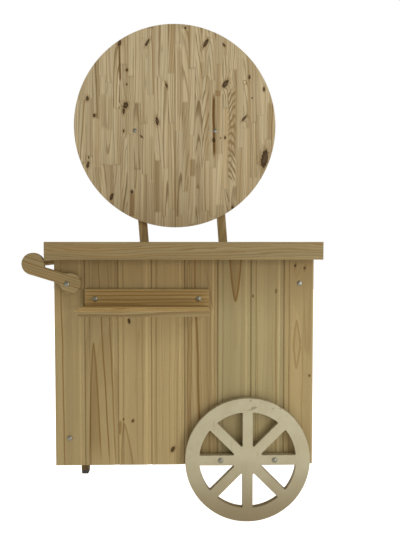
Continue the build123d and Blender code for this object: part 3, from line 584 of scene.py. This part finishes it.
# %% Eight front boards
GREENER_SPRING = (0.415, 0.335, 0.165, 1)
FRONT_BOARDS = {
    1: dict(pith=(-760, 60), lean=30, ring=26, wander=16, contrast=0.10, shade=0.91,
            streaks=[(-408, -398, 4, 150, 930, 0.8), (-352, -360, 7, 300, 900, 0.15),
                     (-384, -386, 12, 181, 900, 0.10)]),
    2: dict(pith=(-262, 62), lean=46, ring=15, wander=14, contrast=0.28, shade=0.93,
            flames=[(-301, 600, 23, -430, 4, 0.34)],
            streaks=[(-287, -250, 4, 180, 930, 0.9), (-256, -230, 4, 180, 930, 0.75),
                     (-308, -312, 5, 180, 560, 0.35), (-240, -240, 3, 560, 930, 0.3)]),
    3: dict(pith=(-420, 30), lean=30, ring=16, wander=9, contrast=0.14,
            knots=[(-183, 664, 3.8, 1.9, -0.1, 1.0), (-172, 330, 3.8, 1.2, 0.2, 0.8),
                   (-203, 335, 2.4, 1.2, 0.0, 0.4)],
            streaks=[(-160, -158, 4, 200, 900, 0.3), (-142, -138, 4, 200, 900, 0.4),
                     (-150, -164, 6, 420, 640, 0.25), (-213, -215, 9, 284, 330, 0.7)],
            flames=[(-201, 325, 24, -170, 12, 0.14)]),
    4: dict(pith=(160, 40), lean=20, ring=9, wander=7, contrast=0.28,
            knots=[(-39, 233, 5.6, 1.5, 0.4, 1.0)],
            streaks=[(-96, -98, 4, 180, 900, 0.3), (-85, -85, 3, 180, 900, 0.2),
                     (-74, -74, 3, 180, 900, 0.25), (-48, -50, 4, 180, 900, 0.3),
                     (-24, -26, 3, 180, 900, 0.3)]),
    5: dict(pith=(-60, 22), lean=24, ring=12, wander=10, contrast=0.3, shade=0.90,
            streaks=[(10, 12, 6, 180, 900, 0.7), (24, 20, 5, 180, 900, 0.6),
                     (31, 55, 7, 180, 930, 0.95), (84, 84, 8, 180, 900, 0.4),
                     (58, 96, 5, 700, 900, 0.6), (98, 98, 8, 180, 720, 0.3),
                     (74, 66, 22, 180, 900, 0.15)]),
    6: dict(pith=(700, 80), lean=14, ring=18, wander=6, contrast=0.10, shade=0.89,
            spring=GREENER_SPRING, flames=[(169, 724, 26, 190, 0, 0.62)],
            streaks=[(142, 140, 3, 200, 800, 0.12), (198, 196, 3, 200, 700, 0.12),
                     (169, 169, 12, 560, 740, 0.12)]),
    7: dict(pith=(720, 60), lean=30, ring=14, wander=9, contrast=0.12, shade=0.92,
            spring=GREENER_SPRING,
            knots=[(227, 746, 2.4, 1.6, 0, 0.7), (304, 762, 2.9, 2.2, 0.1, 0.45)],
            streaks=[(304, 305, 6, 180, 900, 0.55), (292, 292, 4, 180, 900, 0.25),
                     (238, 246, 4, 180, 900, 0.35)]),
    8: dict(pith=(374, 36), lean=22, ring=12, wander=8, contrast=0.22, shade=0.97,
            knots=[(367, 847, 3.6, 1.1, 0, 1.0), (398, 839, 3.6, 1.1, 0, 1.0),
                   (417, 479, 2.8, 1.2, 0, 0.7)],
            flames=[(373, 668, 17, -120, 2, 0.10), (373, 500, 17, 120, 2, 0.06),
                    (373, 806, 26, 110, 2, 0.12)],
            streaks=[(350, 350, 5, 200, 900, 0.35), (396, 390, 4, 200, 720, 0.35),
                     (371, 365, 11, 832, 862, 0.75), (402, 397, 10, 826, 852, 0.75),
                     (395, 403, 4, 560, 812, 0.45), (416, 416, 14, 540, 900, 0.3)]),
}
for number, own in FRONT_BOARDS.items():
    pine(f"front_board_{number}", CART_ZERO, seed=number * 3.7, panel=True, **own)
print(len(FRONT_BOARDS), "front boards")

# %% [markdown]
# ## The side boards and the frame behind
#
# The same boards clad the sides. Nobody matched them, so their piths and seeds are rolled
# with a seeded dice. The frame inside is the same pine without varnish: paler, drier and
# with a little more difference between the pieces.

# %% Side boards, stiles, rails and rungs
roll = np.random.default_rng(21)
for side in ("left", "right"):
    low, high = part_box(f"side_board_{side}_1")
    face_x = low[0] if side == "left" else high[0]
    zero = (face_x, PANEL_Y, 0.0)
    side_names = sorted(name for name in nodes if name.startswith(f"side_board_{side}_"))
    for name in side_names:
        low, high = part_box(name)
        middle = ((low[1] + high[1]) / 2 - PANEL_Y) / MM
        pith = middle + roll.uniform(-150, 150)
        knots = []
        for _ in range(int(roll.integers(1, 4))):
            across = middle + roll.uniform(-32, 32)
            up, radius, tilt = roll.uniform(230, 860), roll.uniform(3, 7), roll.uniform(-0.3, 0.3)
            knots.append((across, up, radius, 1.4, tilt, 0.9))
        inward = roll.uniform(30, 70)
        pine(name, zero, SIDE_GRAIN_UP, pith=(pith, inward), lean=roll.uniform(-40, 40),
             ring=roll.uniform(6, 11), wander=9, seed=roll.uniform(0, 90), knots=knots,
             contrast=roll.uniform(0.45, 0.8), shade=roll.uniform(0.94, 1.03))

BARE_SPRING = (0.50, 0.39, 0.22, 1)
for name in sorted(nodes):
    if not name.startswith(("stile_", "rail_", "rung_")):
        continue
    low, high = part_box(name)
    zero = tuple((a + b) / 2 for a, b in zip(low, high))
    order = GRAIN_UP if name.startswith("stile_") else GRAIN_RIGHT
    if name.startswith("rung_"):
        order = GRAIN_BACK
    knots = [(roll.uniform(-12, 12), roll.uniform(-250, 250), roll.uniform(3, 6), 1.3, 0.2, 0.8)
             for _ in range(2)]
    pine(name, zero, order, pith=(roll.uniform(-60, 60), roll.uniform(25, 60)),
         lean=roll.uniform(-30, 30), ring=roll.uniform(3.5, 6), wander=5, seed=roll.uniform(0, 90),
         knots=knots, contrast=0.7, shade=roll.uniform(0.92, 1.04), spring=BARE_SPRING)

# %% [markdown]
# ## The counter's edge boards, the cleat and the shelf
#
# Planed boards whose grain runs left to right. The shelf and its cleat are from browner
# stock with bold rings, so wide rings and a stronger contrast are what make them.

# %% Boards with their grain across
EDGE_SPRING = (0.30, 0.235, 0.117, 1)
for name in ("fascia_front", "fascia_rear", "fascia_left", "fascia_right"):
    low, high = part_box(name)
    zero = (CART_X, low[1], (low[2] + high[2]) / 2)
    order = GRAIN_RIGHT
    if name in ("fascia_left", "fascia_right"):
        order = SIDE_GRAIN_BACK
        zero = (low[0], (low[1] + high[1]) / 2, zero[2])
    pine(name, zero, order, pith=(roll.uniform(90, 130), 20), lean=12, ring=9, wander=28,
         seed=roll.uniform(0, 90), contrast=0.95, spring=EDGE_SPRING)

cleat_lines = [(21, 22, 4, -210, 210, 0.8), (9, 8, 4, -210, 210, 0.9), (-4, -6, 3, -210, 210, 0.8),
               (-15, -17, 4, -210, 210, 0.7), (-24, -24, 3, -210, 210, 0.5)]
pine("shelf_cleat", front_of("shelf_cleat"), GRAIN_RIGHT, pith=(-70, 14), lean=10, ring=13,
     wander=12, seed=5.2, contrast=0.5, spring=(0.37, 0.26, 0.105, 1), streaks=cleat_lines)
middle, front, _ = front_of("shelf_board")
# the shelf's top is painted lighter and its other faces darker, as the light falls on them
pine("shelf_board", (middle, front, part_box("shelf_board")[1][2]), LAID_GRAIN_RIGHT,
     pith=(60, -44), lean=36, ring=8, wander=12, seed=8.3, contrast=1.2, painted_top_light=2.1,
     painted_side_light=0.80,
     streaks=[(10, 10, 60, -200, -60, 0.12)])

# %% [markdown]
# ## The push handle and the posts
#
# Each bracket is sawn out of a board so that the grain runs down the sloping arm. That is
# the strong way, since an arm across the grain would snap. The pattern is turned by the
# slope of the arm and measured from the pivot, and it turns with the handle.

# %% Handle and posts
ARM_SLOPE = 17.0
for name, seed in (("handle_bracket_front", 3.3), ("handle_bracket_rear", 7.9)):
    zero = (HANDLE_ZERO[0], front_of(name)[1], HANDLE_ZERO[2])
    pine(name, zero, GRAIN_RIGHT, pith=(150, 20), lean=16, ring=10, wander=10, seed=seed,
         contrast=0.9, spring=(0.32, 0.245, 0.118, 1), turn=-ARM_SLOPE)
pine("handle_bar", front_of("handle_bar"), GRAIN_BACK, pith=(30, 30), lean=8, ring=4, seed=2.0,
     contrast=0.7, shade=0.96)
for name, seed in (("sign_post_left", 4.4), ("sign_post_right", 9.1)):
    middle, front, _ = front_of(name)
    pine(name, (middle, front, 0.0), pith=(roll.uniform(-50, 50), 60), lean=30, wander=8,
         seed=seed, contrast=0.8, shade=0.9)

# %% [markdown]
# ## The round sign and the counter top
#
# Both are glued panels. The figure is worked out once for the block's own dice, so each
# block's pith, ring width and tone differ from its neighbours. The sign is cut from a
# cheaper panel that still has its knots and brown hearts in it, and those marks are what
# people recognise it by, so they are listed one by one, in millimetres from its middle.

# %% Glued panels
SIGN_KNOTS = [
    (-225, 333, 7, 1.6, 0.2), (-112, 336, 6, 2.4, 0.5), (43, 396, 4, 1.3, 0.0),
    (126, 336, 8, 2.3, 0.5), (200, 328, 5, 1.6, -0.4), (-195, 226, 5, 1.3, 0.0),
    (-35, 164, 5, 1.8, -0.3), (206, 173, 11, 1.5, 0.5), (304, 200, 5, 1.8, 0.0),
    (364, 152, 5, 1.8, 0.0), (-356, 111, 6, 1.6, 0.0), (-329, 42, 5, 1.5, 0.0),
    (-73, 21, 7, 2.5, -0.1), (-210, -20, 4, 1.6, 0.0), (-137, -42, 4, 1.6, -0.5),
    (159, -56, 7, 1.6, 0.0), (205, -45, 4, 1.5, 0.0), (283, 33, 6, 1.9, 0.7),
    (368, -131, 15, 2.6, 0.15), (-356, -157, 6, 2.4, 0.2), (-261, -288, 7, 2.2, 0.3),
    (-177, -268, 6, 1.4, 0.0), (236, -329, 5, 1.5, 0.0), (-201, 84, 11, 1.25, 0.1),
    (-209, 60, 5, 2.4, 0.1), (187, -47, 3, 1.0, 0.0), (-196, 168, 3, 1.5, 0.0),
    (316, 116, 3, 1.3, 0.0), (-352, -128, 3, 2.0, 0.0),
]
SIGN_HEARTS = [
    (-225, -223, 5, 182, 330, 0.85), (159, 159, 6.5, -121, 128, 1.0),
    (-177, -177, 12, -372, -270, 0.7), (19, 19, 13, 33, 322, 0.3), (72, 72, 14, -204, -133, 0.5),
    (96, 96, 12, -371, -145, 0.3), (-96, -96, 11, -230, -40, 0.2), (-292, -290, 13, -10, 130, 0.3),
    (174, 176, 14, 122, 146, 0.55), (172, 172, 14, -140, 100, 0.2), (-262, -262, 13, -20, 120, 0.2),
    (390, 386, 14, -60, 100, 0.4), (-140, -140, 12, -160, 60, 0.12),
    (-320, -320, 10, -250, -80, 0.15), (330, 330, 12, -330, -150, 0.15),
    (110, 110, 12, 190, 260, 0.2),
]
# hearts stronger than this are dark as well as brown
DARK_HEART = 0.8
GLUED_SPRING = (0.59, 0.485, 0.30, 1)
GLUED_SUMMER = (0.27, 0.19, 0.095, 1)


def glued_pine(name, zero, order, knots, seed, hearts=(), marked=False):
    """An edge-glued, finger-jointed pine panel. The marked one has the sign's own marks."""
    material, wires, shader = start_material(name)
    place = millimetres(wires, zero, order)
    strips = wires.group("Glued Strips", Position=place, Seed=seed)
    across = wires.swing(strips["Dice A"], 190.0, 14.0)
    ring = wires.times_plus(strips["Dice C"], 4.0, 4.6)
    lean = wires.times_plus(strips["Dice B"], 130.0, -65.0)
    dark, brown, bulge = [], [], 0.0
    for number, where in enumerate(knots):
        knot = knot_at(wires, place, number * 1.3, *where)
        dark.append(knot["Core"])
        brown.append(wires.times(knot["Stain"], 0.4))
        bulge = wires.plus(knot["Bulge"], bulge)
    for heart in hearts:
        line = line_at(wires, place, *heart, flat=0.6)
        brown.append(line)
        if heart[-1] > DARK_HEART:
            dark.append(wires.times(line, 0.3))
    figure = wires.group("Ring Figure", Position=strips["Block Position"], Pith_Across=across,
                         Pith_Depth=26.0, Lean=lean, Ring_Width=ring, Wander=10.0, Bulge=bulge,
                         Rise_From=0.5, Seed=wires.times(strips["Dice B"], 50.0))
    summer = figure["Summer Wood"]
    if marked:
        bands = wires.group("Slanting Bands", Position=place, Middle=232.0, Half_Width=17.0,
                            From=-225.0, To=155.0, Pitch=31.0)
        summer = wires.larger(summer, wires.times(bands["Mask"], 0.8))
        centre = wires.absolute(wires.parts(place)[0])
        brown.append(wires.step(centre, 0.8, 2.6, 0.7, 0.0))
        plug = wires.group("Knot", Position=place, Across=285.0, Along=179.0, Radius=8.0,
                           Stretch=1.0)
        brown.append(plug["Collar"])
    tone = wires.swing(strips["Dice C"], 0.13, 1.0)
    tone = wires.times(tone, wires.times_plus(strips["Glue"], -0.35, 1.0))
    brown.append(wires.step(strips["Dice A"], 0.78, 1.0, 0.0, 0.24))
    strength = wires.times_plus(strips["Dice B"], 0.6, 0.8)
    look = finished(wires, figure, Summer_Wood=summer, Brown=wires.largest(brown),
                    Dark=wires.largest(dark), Shade=tone, Contrast=strength,
                    Spring_Colour=GLUED_SPRING, Summer_Colour=GLUED_SUMMER)
    finish_surface(wires, shader, look["Colour"], look["Roughness"], look["Height"])
    wires.plug(shader, "Specular IOR Level", VARNISH_SHINE)
    return material


sign_material = glued_pine("round sign", SIGN_ZERO, GRAIN_UP, SIGN_KNOTS, 4.0, SIGN_HEARTS, True)
dress("sign_left_half", sign_material)
dress("sign_right_half", sign_material)
top_zero = (CART_X, counter_low[1], counter_high[2])
top_knots = [(120, -210, 5, 1.4, 0), (300, 180, 6, 1.4, 0.2), (60, 330, 4, 1.3, 0)]
dress("counter_top", glued_pine("counter top", top_zero, LAID_GRAIN_RIGHT, top_knots, 11.0))

# %% [markdown]
# ## The painted wheels
#
# The wheels are sawn out of board and rolled with thin cream paint. The cut edges got only
# a hasty brush, so the paint has worn through there in patches that show the plies. One
# material does both: everything that faces along the board's plane is an edge, and a mask
# chooses where an edge is bare.

# %% Wheel paint and floor plywood
wires, given, close = new_group(
    "Plies", Depth=0.0, Ply=2.6, Fibre=0.5)
ply = wires.floor(wires.over(given["Depth"], given["Ply"]))
odd = wires.math("PINGPONG", ply, 1.0)
glue = wires.fraction(wires.over(given["Depth"], given["Ply"]))
glue = wires.fall(wires.math("PINGPONG", glue, 0.5), 0.03, 0.12)
colour = wires.blend(odd, (0.20, 0.14, 0.065, 1), (0.31, 0.235, 0.12, 1))
colour = wires.blend(wires.times(glue, 0.5), colour, (0.08, 0.05, 0.02, 1))
light = wires.times_plus(given["Fibre"], 0.5, 0.75)
colour = wires.lit(colour, light)
close(Colour=colour, Height=wires.times_plus(odd, 0.5, given["Fibre"]))


def painted_board(name, zero):
    """Thin cream paint, worn through to brown plies in patches on the cut edges."""
    material, wires, shader = start_material(name)
    place = millimetres(wires, zero)
    across, depth, along = wires.parts(place)
    cloud = wires.noise(place, (0.011, 0.02, 0.011), 3.0, 0.6)
    smear = wires.noise(place, (0.05, 0.05, 0.014), 4.0, 0.7)
    roller = wires.noise(place, (0.9, 0.9, 0.9), 2.0)
    paint = wires.blend(wires.step(cloud, 0.35, 0.7), (0.50, 0.455, 0.30, 1), (0.45, 0.40, 0.25, 1))
    lower = wires.step(along, 40.0, -215.0, 0.0, 0.92)
    paint = wires.blend(lower, paint, (0.24, 0.18, 0.09, 1))
    paint = wires.blend(wires.step(smear, 0.60, 0.74, 0.0, 0.45), paint, (0.25, 0.185, 0.10, 1))
    scuff = wires.step(wires.noise(place, (0.022, 0.03, 0.05), 5.0, 0.75), 0.56, 0.62, 0.0, 0.6)
    top_only = wires.times(scuff, wires.step(along, 120.0, 175.0))
    top_only = wires.times(top_only, wires.step(across, -30.0, 10.0))
    paint = wires.blend(top_only, paint, (0.16, 0.10, 0.05, 1))
    fibre = wires.noise(place, (0.5, 0.5, 0.5), 4.0, 0.7)
    plies = wires.group("Plies", Depth=depth, Ply=2.57, Fibre=fibre)
    flat = wires.absolute(wires.facing(1))
    edge = wires.fall(flat, 0.75, 0.93)
    wear_and_highlight = wires.noise(place, (0.06, 0.3, 0.06), 4.0, 0.7)
    bare = wires.times(edge, wires.step(wear_and_highlight, 0.40, 0.62, 0.12, 0.75))
    colour = wires.blend(bare, paint, plies["Colour"])
    rough = wires.times_plus(bare, 0.3, wires.times_plus(roller, 0.15, 0.38))
    height = wires.plus(wires.times(roller, 0.5), wires.times(plies["Height"], bare))
    finish_surface(wires, shader, colour, rough, height, 0.25)
    return material


rear_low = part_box("wheel_rear")[0]
dress("wheel_front", painted_board("front wheel", WHEEL_ZERO))
dress("wheel_rear", painted_board("rear wheel", (WHEEL_ZERO[0], rear_low[1], WHEEL_ZERO[2])))

material, wires, shader = start_material("floor plywood")
zero = (CART_X, PANEL_Y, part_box("floor_board")[0][2])
place = millimetres(wires, zero, LAID_GRAIN_RIGHT)
figure = wires.group("Ring Figure", Position=place, Pith_Across=200.0, Pith_Depth=-60.0, Lean=50.0,
                     Ring_Width=22.0, Wander=60.0, Seed=3.0)
face = finished(wires, figure, Contrast=0.5, Spring_Colour=(0.52, 0.41, 0.26, 1))
plies = wires.group("Plies", Depth=wires.parts(place)[1], Ply=2.4, Fibre=figure["Fibre"])
up = wires.absolute(wires.facing(2))
side = wires.fall(up, 0.6, 0.9)
finish_surface(wires, shader, wires.blend(side, face["Colour"], plies["Colour"]), face["Roughness"],
               face["Height"])
dress("floor_board", material)

# %% [markdown]
# ## Leg, spacers, rubber and metal
#
# The leg is oiled wood, coloured dark brown as painted shade for the shadow it stands in
# under the cart, with a pushed-on rubber tip. The bolts and nuts are zinc plated: a dull
# grey, clouded in patches where the plating is thicker, and kept dark as a painted
# reflection of a dark room.

# %% Small pieces
middle, front, _ = front_of("leg")
# painted shade: the leg's dark brown stands in for the shadow under the cart
pine("leg", (middle, front, 0.0), pith=(60, 40), lean=12, ring=3.2, wander=4, seed=6.0,
     contrast=0.8, spring=(0.13, 0.08, 0.035, 1), summer=(0.06, 0.032, 0.012, 1))
for name in ("wheel_front_spacers", "wheel_rear_spacers"):
    pine(name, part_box(name)[0], GRAIN_BACK, pith=(50, 30), ring=4, seed=1.0, contrast=0.7,
         shade=0.85)

material, wires, shader = start_material("black rubber")
place = millimetres(wires, (0, 0, 0))
grain = wires.noise(place, (1.2, 1.2, 1.2), 3.0, 0.6)
dust = wires.noise(place, (0.12, 0.12, 0.2), 3.0, 0.6)
foot = wires.step(wires.parts(place)[2], 0.0, 9.0, 0.55, 0.0)
dusty = wires.larger(wires.step(dust, 0.45, 0.7, 0.1, 0.45), foot)
colour = wires.blend(dusty, (0.035, 0.034, 0.032, 1), (0.15, 0.135, 0.11, 1))
finish_surface(wires, shader, colour, wires.times_plus(grain, 0.2, 0.6), grain, 0.3)
dress("leg_tip", material)

zinc, wires, shader = start_material("zinc plate")
place = millimetres(wires, (0, 0, 0))
cloud = wires.noise(place, (0.5, 0.5, 0.5), 4.0, 0.6)
spark = wires.noise(place, (3.0, 3.0, 3.0), 2.0)
# painted reflection: the grey is kept dark, as a dark room would look reflected in the zinc
colour = wires.blend(cloud, (0.21, 0.205, 0.165, 1), (0.36, 0.35, 0.295, 1))
finish_surface(wires, shader, colour, wires.step(cloud, 0.3, 0.7, 0.30, 0.50), spark, 0.12, 0.0002)
wires.plug(shader, "Metallic", 1.0)
dress("wood_screws", zinc)

# %% [markdown]
# ## Bolts and nuts turned from a profile
#
# A bolt is a profile turned round an axis. Only its tail is not round: there the radius
# also depends on the angle, and that one change makes a thread. A nut is the same idea.
# Its radius is the lower of two numbers, the distance to the flat of a hexagon and the
# width of a cone, and where they cross the bright curved chamfer appears by itself.

# %% Surfaces of turned pieces
TURN_STEPS = 72
BOLT_RADIUS, THREAD_PITCH, THREAD_DEPTH, THREAD_LENGTH = 4.0, 1.25, 0.55, 6.0
HEAD_RADIUS, HEAD_HEIGHT, HEAD_RIM = 8.6, 4.6, 0.8
NUT_FLAT, NUT_HEIGHT, NUT_HOLE, CHAMFER_RADIUS = 6.5, 6.5, 4.05, 6.1
WASHER_RADIUS, WASHER_THICK, TAIL = 9.5, 1.6, 3.5
HEAD_BEVEL, TIP_BEVEL, HOLE_BEVEL, CHAMFER_RISE = 0.15, 0.8, 0.4, 0.9
DOME_ROWS, THREAD_ROWS, CHAMFER_ROWS, SHARP_ANGLE = 14, 61, 7, 32
angles = np.arange(TURN_STEPS) * 2 * math.pi / TURN_STEPS


def turned(radius, height, closed_ring):
    """Points and faces of a turned surface.

    Point (row, step) lies at radius[row, step] from the axis, in the direction of the
    step's angle, at height[row]. A closed ring joins its last row to its first. An open
    one ends in a single point on the axis at either end.
    """
    rows = len(height)
    x = radius * np.cos(angles)
    y = radius * np.sin(angles)
    z = np.repeat(height[:, None], TURN_STEPS, axis=1)
    points = np.stack([x, y, z], axis=-1).reshape(-1, 3)
    row = np.arange(rows if closed_ring else rows - 1)[:, None]
    step = np.arange(TURN_STEPS)[None, :]
    here, above = row * TURN_STEPS, (row + 1) % rows * TURN_STEPS
    after = (step + 1) % TURN_STEPS
    quads = np.stack([here + step, here + after, above + after, above + step], axis=-1)
    quads = quads.reshape(-1, 4)
    if closed_ring:
        return points, quads, np.empty((0, 3), int)
    foot, top = np.full(TURN_STEPS, len(points)), np.full(TURN_STEPS, len(points) + 1)
    ring, after, last_row = step[0], after[0], (rows - 1) * TURN_STEPS
    foot_fan = np.stack([foot, after, ring], axis=-1)
    top_fan = np.stack([top, last_row + ring, last_row + after], axis=-1)
    points = np.concatenate([points, [[0, 0, height[0]], [0, 0, height[-1]]]])
    return points, quads, np.concatenate([foot_fan, top_fan])


def bolt_surface(grip):
    """A domed head below zero, a plain shank, and a thread up to a bevelled tip.

    Dome: radius = head radius times sin(t), height = -rim - cap times cos(t), with t from
    0 to a right angle. Thread: radius = bolt radius - depth times a triangle wave of
    height / pitch - angle / full turn, fading in at its start and cut off by the tip.
    """
    length = grip + WASHER_THICK + NUT_HEIGHT + TAIL
    t = np.linspace(0.08, math.pi / 2, DOME_ROWS)
    dome_radius = HEAD_RADIUS * np.sin(t)
    dome_height = -HEAD_RIM - (HEAD_HEIGHT - HEAD_RIM) * np.cos(t)
    thread_height = np.linspace(length - THREAD_LENGTH, length, THREAD_ROWS)
    height = np.concatenate([dome_height, [-HEAD_BEVEL, 0.0, 0.0], thread_height])
    base = np.concatenate([dome_radius, [HEAD_RADIUS, HEAD_RADIUS - HEAD_BEVEL, BOLT_RADIUS],
                           np.full(THREAD_ROWS, BOLT_RADIUS)])
    turns = height[:, None] / THREAD_PITCH - angles[None, :] / (2 * math.pi)
    wave = 2 * np.abs(turns - np.round(turns))
    fade = np.clip((height - length + THREAD_LENGTH) / THREAD_PITCH, 0, 1)
    radius = base[:, None] - THREAD_DEPTH * wave * fade[:, None]
    tip = BOLT_RADIUS - np.clip(height - length + TIP_BEVEL, 0, TIP_BEVEL)
    tip = np.where(height < 0, HEAD_RADIUS, tip)
    return turned(np.minimum(radius, tip[:, None]), height, False)


def nut_surface(start):
    """A hexagon nut: radius = lower of the hexagon, flat / cos(angle from the flat's
    middle), and the chamfer cone, which widens by tan 60 degrees a unit from each face."""
    sixth = math.pi / 3
    flat_angle = (angles + sixth / 2) % sixth - sixth / 2
    hexagon = NUT_FLAT / np.cos(flat_angle)
    rise = np.linspace(0, CHAMFER_RISE, CHAMFER_ROWS)
    rise = np.concatenate([rise, np.linspace(NUT_HEIGHT - CHAMFER_RISE, NUT_HEIGHT, CHAMFER_ROWS)])
    cone = CHAMFER_RADIUS + math.tan(sixth) * np.minimum(rise, NUT_HEIGHT - rise)
    outside = np.minimum(hexagon[None, :], cone[:, None])
    sink = np.full((1, TURN_STEPS), NUT_HOLE + HOLE_BEVEL)
    hole = np.full((1, TURN_STEPS), NUT_HOLE)
    radius = np.concatenate([hole, sink, outside, sink, hole])
    height = np.concatenate([[HOLE_BEVEL, 0.0], rise, [NUT_HEIGHT, NUT_HEIGHT - HOLE_BEVEL]]) + start
    return turned(radius, height, True)


def washer_surface(start):
    """A flat ring with a small bevel on its outer edges."""
    edge = 0.25
    radius = np.array([NUT_HOLE, WASHER_RADIUS - edge, WASHER_RADIUS, WASHER_RADIUS,
                       WASHER_RADIUS - edge, NUT_HOLE])
    height = np.array([0, 0, edge, WASHER_THICK - edge, WASHER_THICK, WASHER_THICK]) + start
    return turned(np.repeat(radius[:, None], TURN_STEPS, axis=1), height, True)


def placed(surface, where, way):
    """A surface turned so that its axis points along way, put at where. In metres."""
    points, quads, triangles = surface
    z_axis = np.array(way, float)
    x_axis = np.array((0.0, 0.0, 1.0))
    y_axis = np.cross(z_axis, x_axis)
    spun = points @ np.stack([x_axis, y_axis, z_axis])
    start = np.array(where, float) + np.array(CART_ZERO) / MM
    return (spun + start) * MM, quads, triangles


def joined_piece(name, surfaces, body, old_node):
    """One mesh of several surfaces, which stands for a loaded node and rides on a body."""
    shift, all_points, all_faces = 0, [], []
    for points, quads, triangles in surfaces:
        all_points.append(points)
        all_faces += (quads + shift).tolist() + (triangles + shift).tolist()
        shift += len(points)
    mesh = bpy.data.meshes.new(name)
    mesh.from_pydata(np.concatenate(all_points).tolist(), [], all_faces)
    mesh.materials.append(zinc)
    mesh.shade_smooth()
    mesh.set_sharp_from_angle(angle=math.radians(SHARP_ANGLE))
    piece = bpy.data.objects.new(name, mesh)
    bpy.context.collection.objects.link(piece)
    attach(piece, body)
    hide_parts(old_node)
    apart = np.abs(np.array(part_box(old_node)) - [mesh_end(piece, np.min), mesh_end(piece, np.max)])
    print(name, len(mesh.polygons), "faces, box off by", round(float(apart.max()) / MM, 2), "mm")


def mesh_end(piece, which):
    """The lowest or highest corner of a mesh."""
    flat = np.empty(len(piece.data.vertices) * 3)
    piece.data.vertices.foreach_get("co", flat)
    return which(flat.reshape(-1, 3), axis=0)


# %% All bolts and nuts
# Each row: where the head meets the wood (cart millimetres), which way, grip.
BACK, FRONT, RIGHT = (0, 1, 0), (0, -1, 0), (1, 0, 0)
BOLTS = {
    "frame_bolts": [((382, 0, 788), BACK, 48), ((-382, 0, 273), BACK, 48), ((382, 0, 273), BACK, 48)],
    "shelf_bolts": [((-291, -20, 739), BACK, 68), ((46, -20, 739), BACK, 68)],
    "wheel_bolts": [((119, -30, 206), BACK, 78), ((297, -30, 206), BACK, 78),
                    ((119, 450, 206), FRONT, 64), ((297, 450, 206), FRONT, 64)],
    "handle_pivot_bolts": [((-382, -21, 788), BACK, 69), ((-382, 441, 788), FRONT, 55)],
    "sign_base_bolts": [((-169, 467, 890), FRONT, 81), ((159, 467, 890), FRONT, 81)],
    "sign_top_bolts": [((-206.509, 428, 1383.1), BACK, 39), ((121.491, 428, 1383.1), BACK, 39)],
    "leg_bolts": [((-428, 354, 203.5), RIGHT, 40), ((-428, 354, 316), RIGHT, 40)],
}
cart_nuts, sign_nuts = [], []
for node, rows in BOLTS.items():
    body, nuts = ("sign", sign_nuts) if node == "sign_top_bolts" else ("cart_body", cart_nuts)
    for where, way, grip in rows:
        nuts.append(placed(washer_surface(grip), where, way))
        nuts.append(placed(nut_surface(grip + WASHER_THICK), where, way))
    shapes = [placed(bolt_surface(grip), where, way) for where, way, grip in rows]
    joined_piece(f"threaded_{node}", shapes, body, node)
joined_piece("chamfered_cart_nuts", cart_nuts, "cart_body", "cart_nuts")
joined_piece("chamfered_sign_nuts", sign_nuts, "sign", "sign_nuts")

# %% [markdown]
# ## The stage
#
# A pale studio: a white floor that glows a little, a white world, and a wide soft lamp low
# on the right, like a doorway. A smaller lamp lights the sign. The low lamp and the floor's
# glow are what make the foot of the panel lighter than the part under the counter, and
# they throw the wheel's shadow up and to the left. The camera sees the floor and the world
# as plain white, and everything else gets less than half of that light from them.

# %% Floor, world and lamps
FLOOR_HALF, FLOOR_GLOW, WORLD_GLOW = 9.0, 0.42, 0.45
bpy.ops.mesh.primitive_plane_add(size=2 * FLOOR_HALF, location=(0, 0, 0))
floor = bpy.context.object
floor.name = "studio_floor"
material, wires, shader = start_material("studio floor")
wires.plug(shader, "Base Color", (0.86, 0.86, 0.86, 1))
wires.plug(shader, "Roughness", 0.9)
wires.plug(shader, "Emission Color", (1, 1, 1, 1))
seen = wires.add("ShaderNodeLightPath", {}).outputs["Is Camera Ray"]
wires.plug(shader, "Emission Strength", wires.step(seen, 0.0, 1.0, FLOOR_GLOW, 1.0))
floor.data.materials.append(material)

world = bpy.data.worlds.new("studio")
world.use_nodes = True
bpy.context.scene.world = world
wires = Wires(world.node_tree)
seen = wires.add("ShaderNodeLightPath", {}).outputs["Is Camera Ray"]
background = world.node_tree.nodes["Background"]
wires.plug(background, "Color", wires.blend(seen, (1.0, 0.95, 0.86, 1), (1, 1, 1, 1)))
wires.plug(background, "Strength", wires.step(seen, 0.0, 1.0, WORLD_GLOW, 1.0))


def soft_lamp(name, place, aim, size, power):
    """A square area lamp that looks at a point."""
    lamp = bpy.data.lights.new(name, "AREA")
    lamp.shape = "SQUARE"
    lamp.size = size
    lamp.energy = power
    made = bpy.data.objects.new(name, lamp)
    bpy.context.collection.objects.link(made)
    made.location = place
    way = np.subtract(aim, place)
    flat = math.hypot(way[0], way[1])
    made.rotation_euler = (math.atan2(flat, -way[2]), 0, math.atan2(way[1], way[0]) - math.pi / 2)
    return made


soft_lamp("window_right", place=(1.9, -2.4, 0.35), aim=(0, 0, 0.4), size=1.3, power=24)
soft_lamp("sign_window", place=(1.6, -1.7, 1.9), aim=(0.05, 0.3, 1.4), size=0.8, power=11)
soft_lamp("back_fill", place=(-1.2, 3.0, 2.6), aim=(0, 0, 0.8), size=2.5, power=45)
bpy.context.scene.view_settings.view_transform = "Standard"

# %% [markdown]
# ## The camera
#
# It stands in front of the cart at counter height, looks a little down and a hair to the
# right, and is placed from the cart's own middle and front.

# %% Camera
TO_THE_RIGHT, AWAY, EYE_HEIGHT = 0.019, 1.689, 0.909
LOOK_DOWN, LOOK_RIGHT, LENS = 2.2, 1.1, 34.6
camera = bpy.data.objects.new("camera", bpy.data.cameras.new("camera"))
bpy.context.collection.objects.link(camera)
camera.location = (CART_X + TO_THE_RIGHT, PANEL_Y - AWAY, EYE_HEIGHT)
camera.rotation_euler = (math.radians(90 - LOOK_DOWN), 0, math.radians(-LOOK_RIGHT))
camera.data.lens = LENS
bpy.context.scene.camera = camera
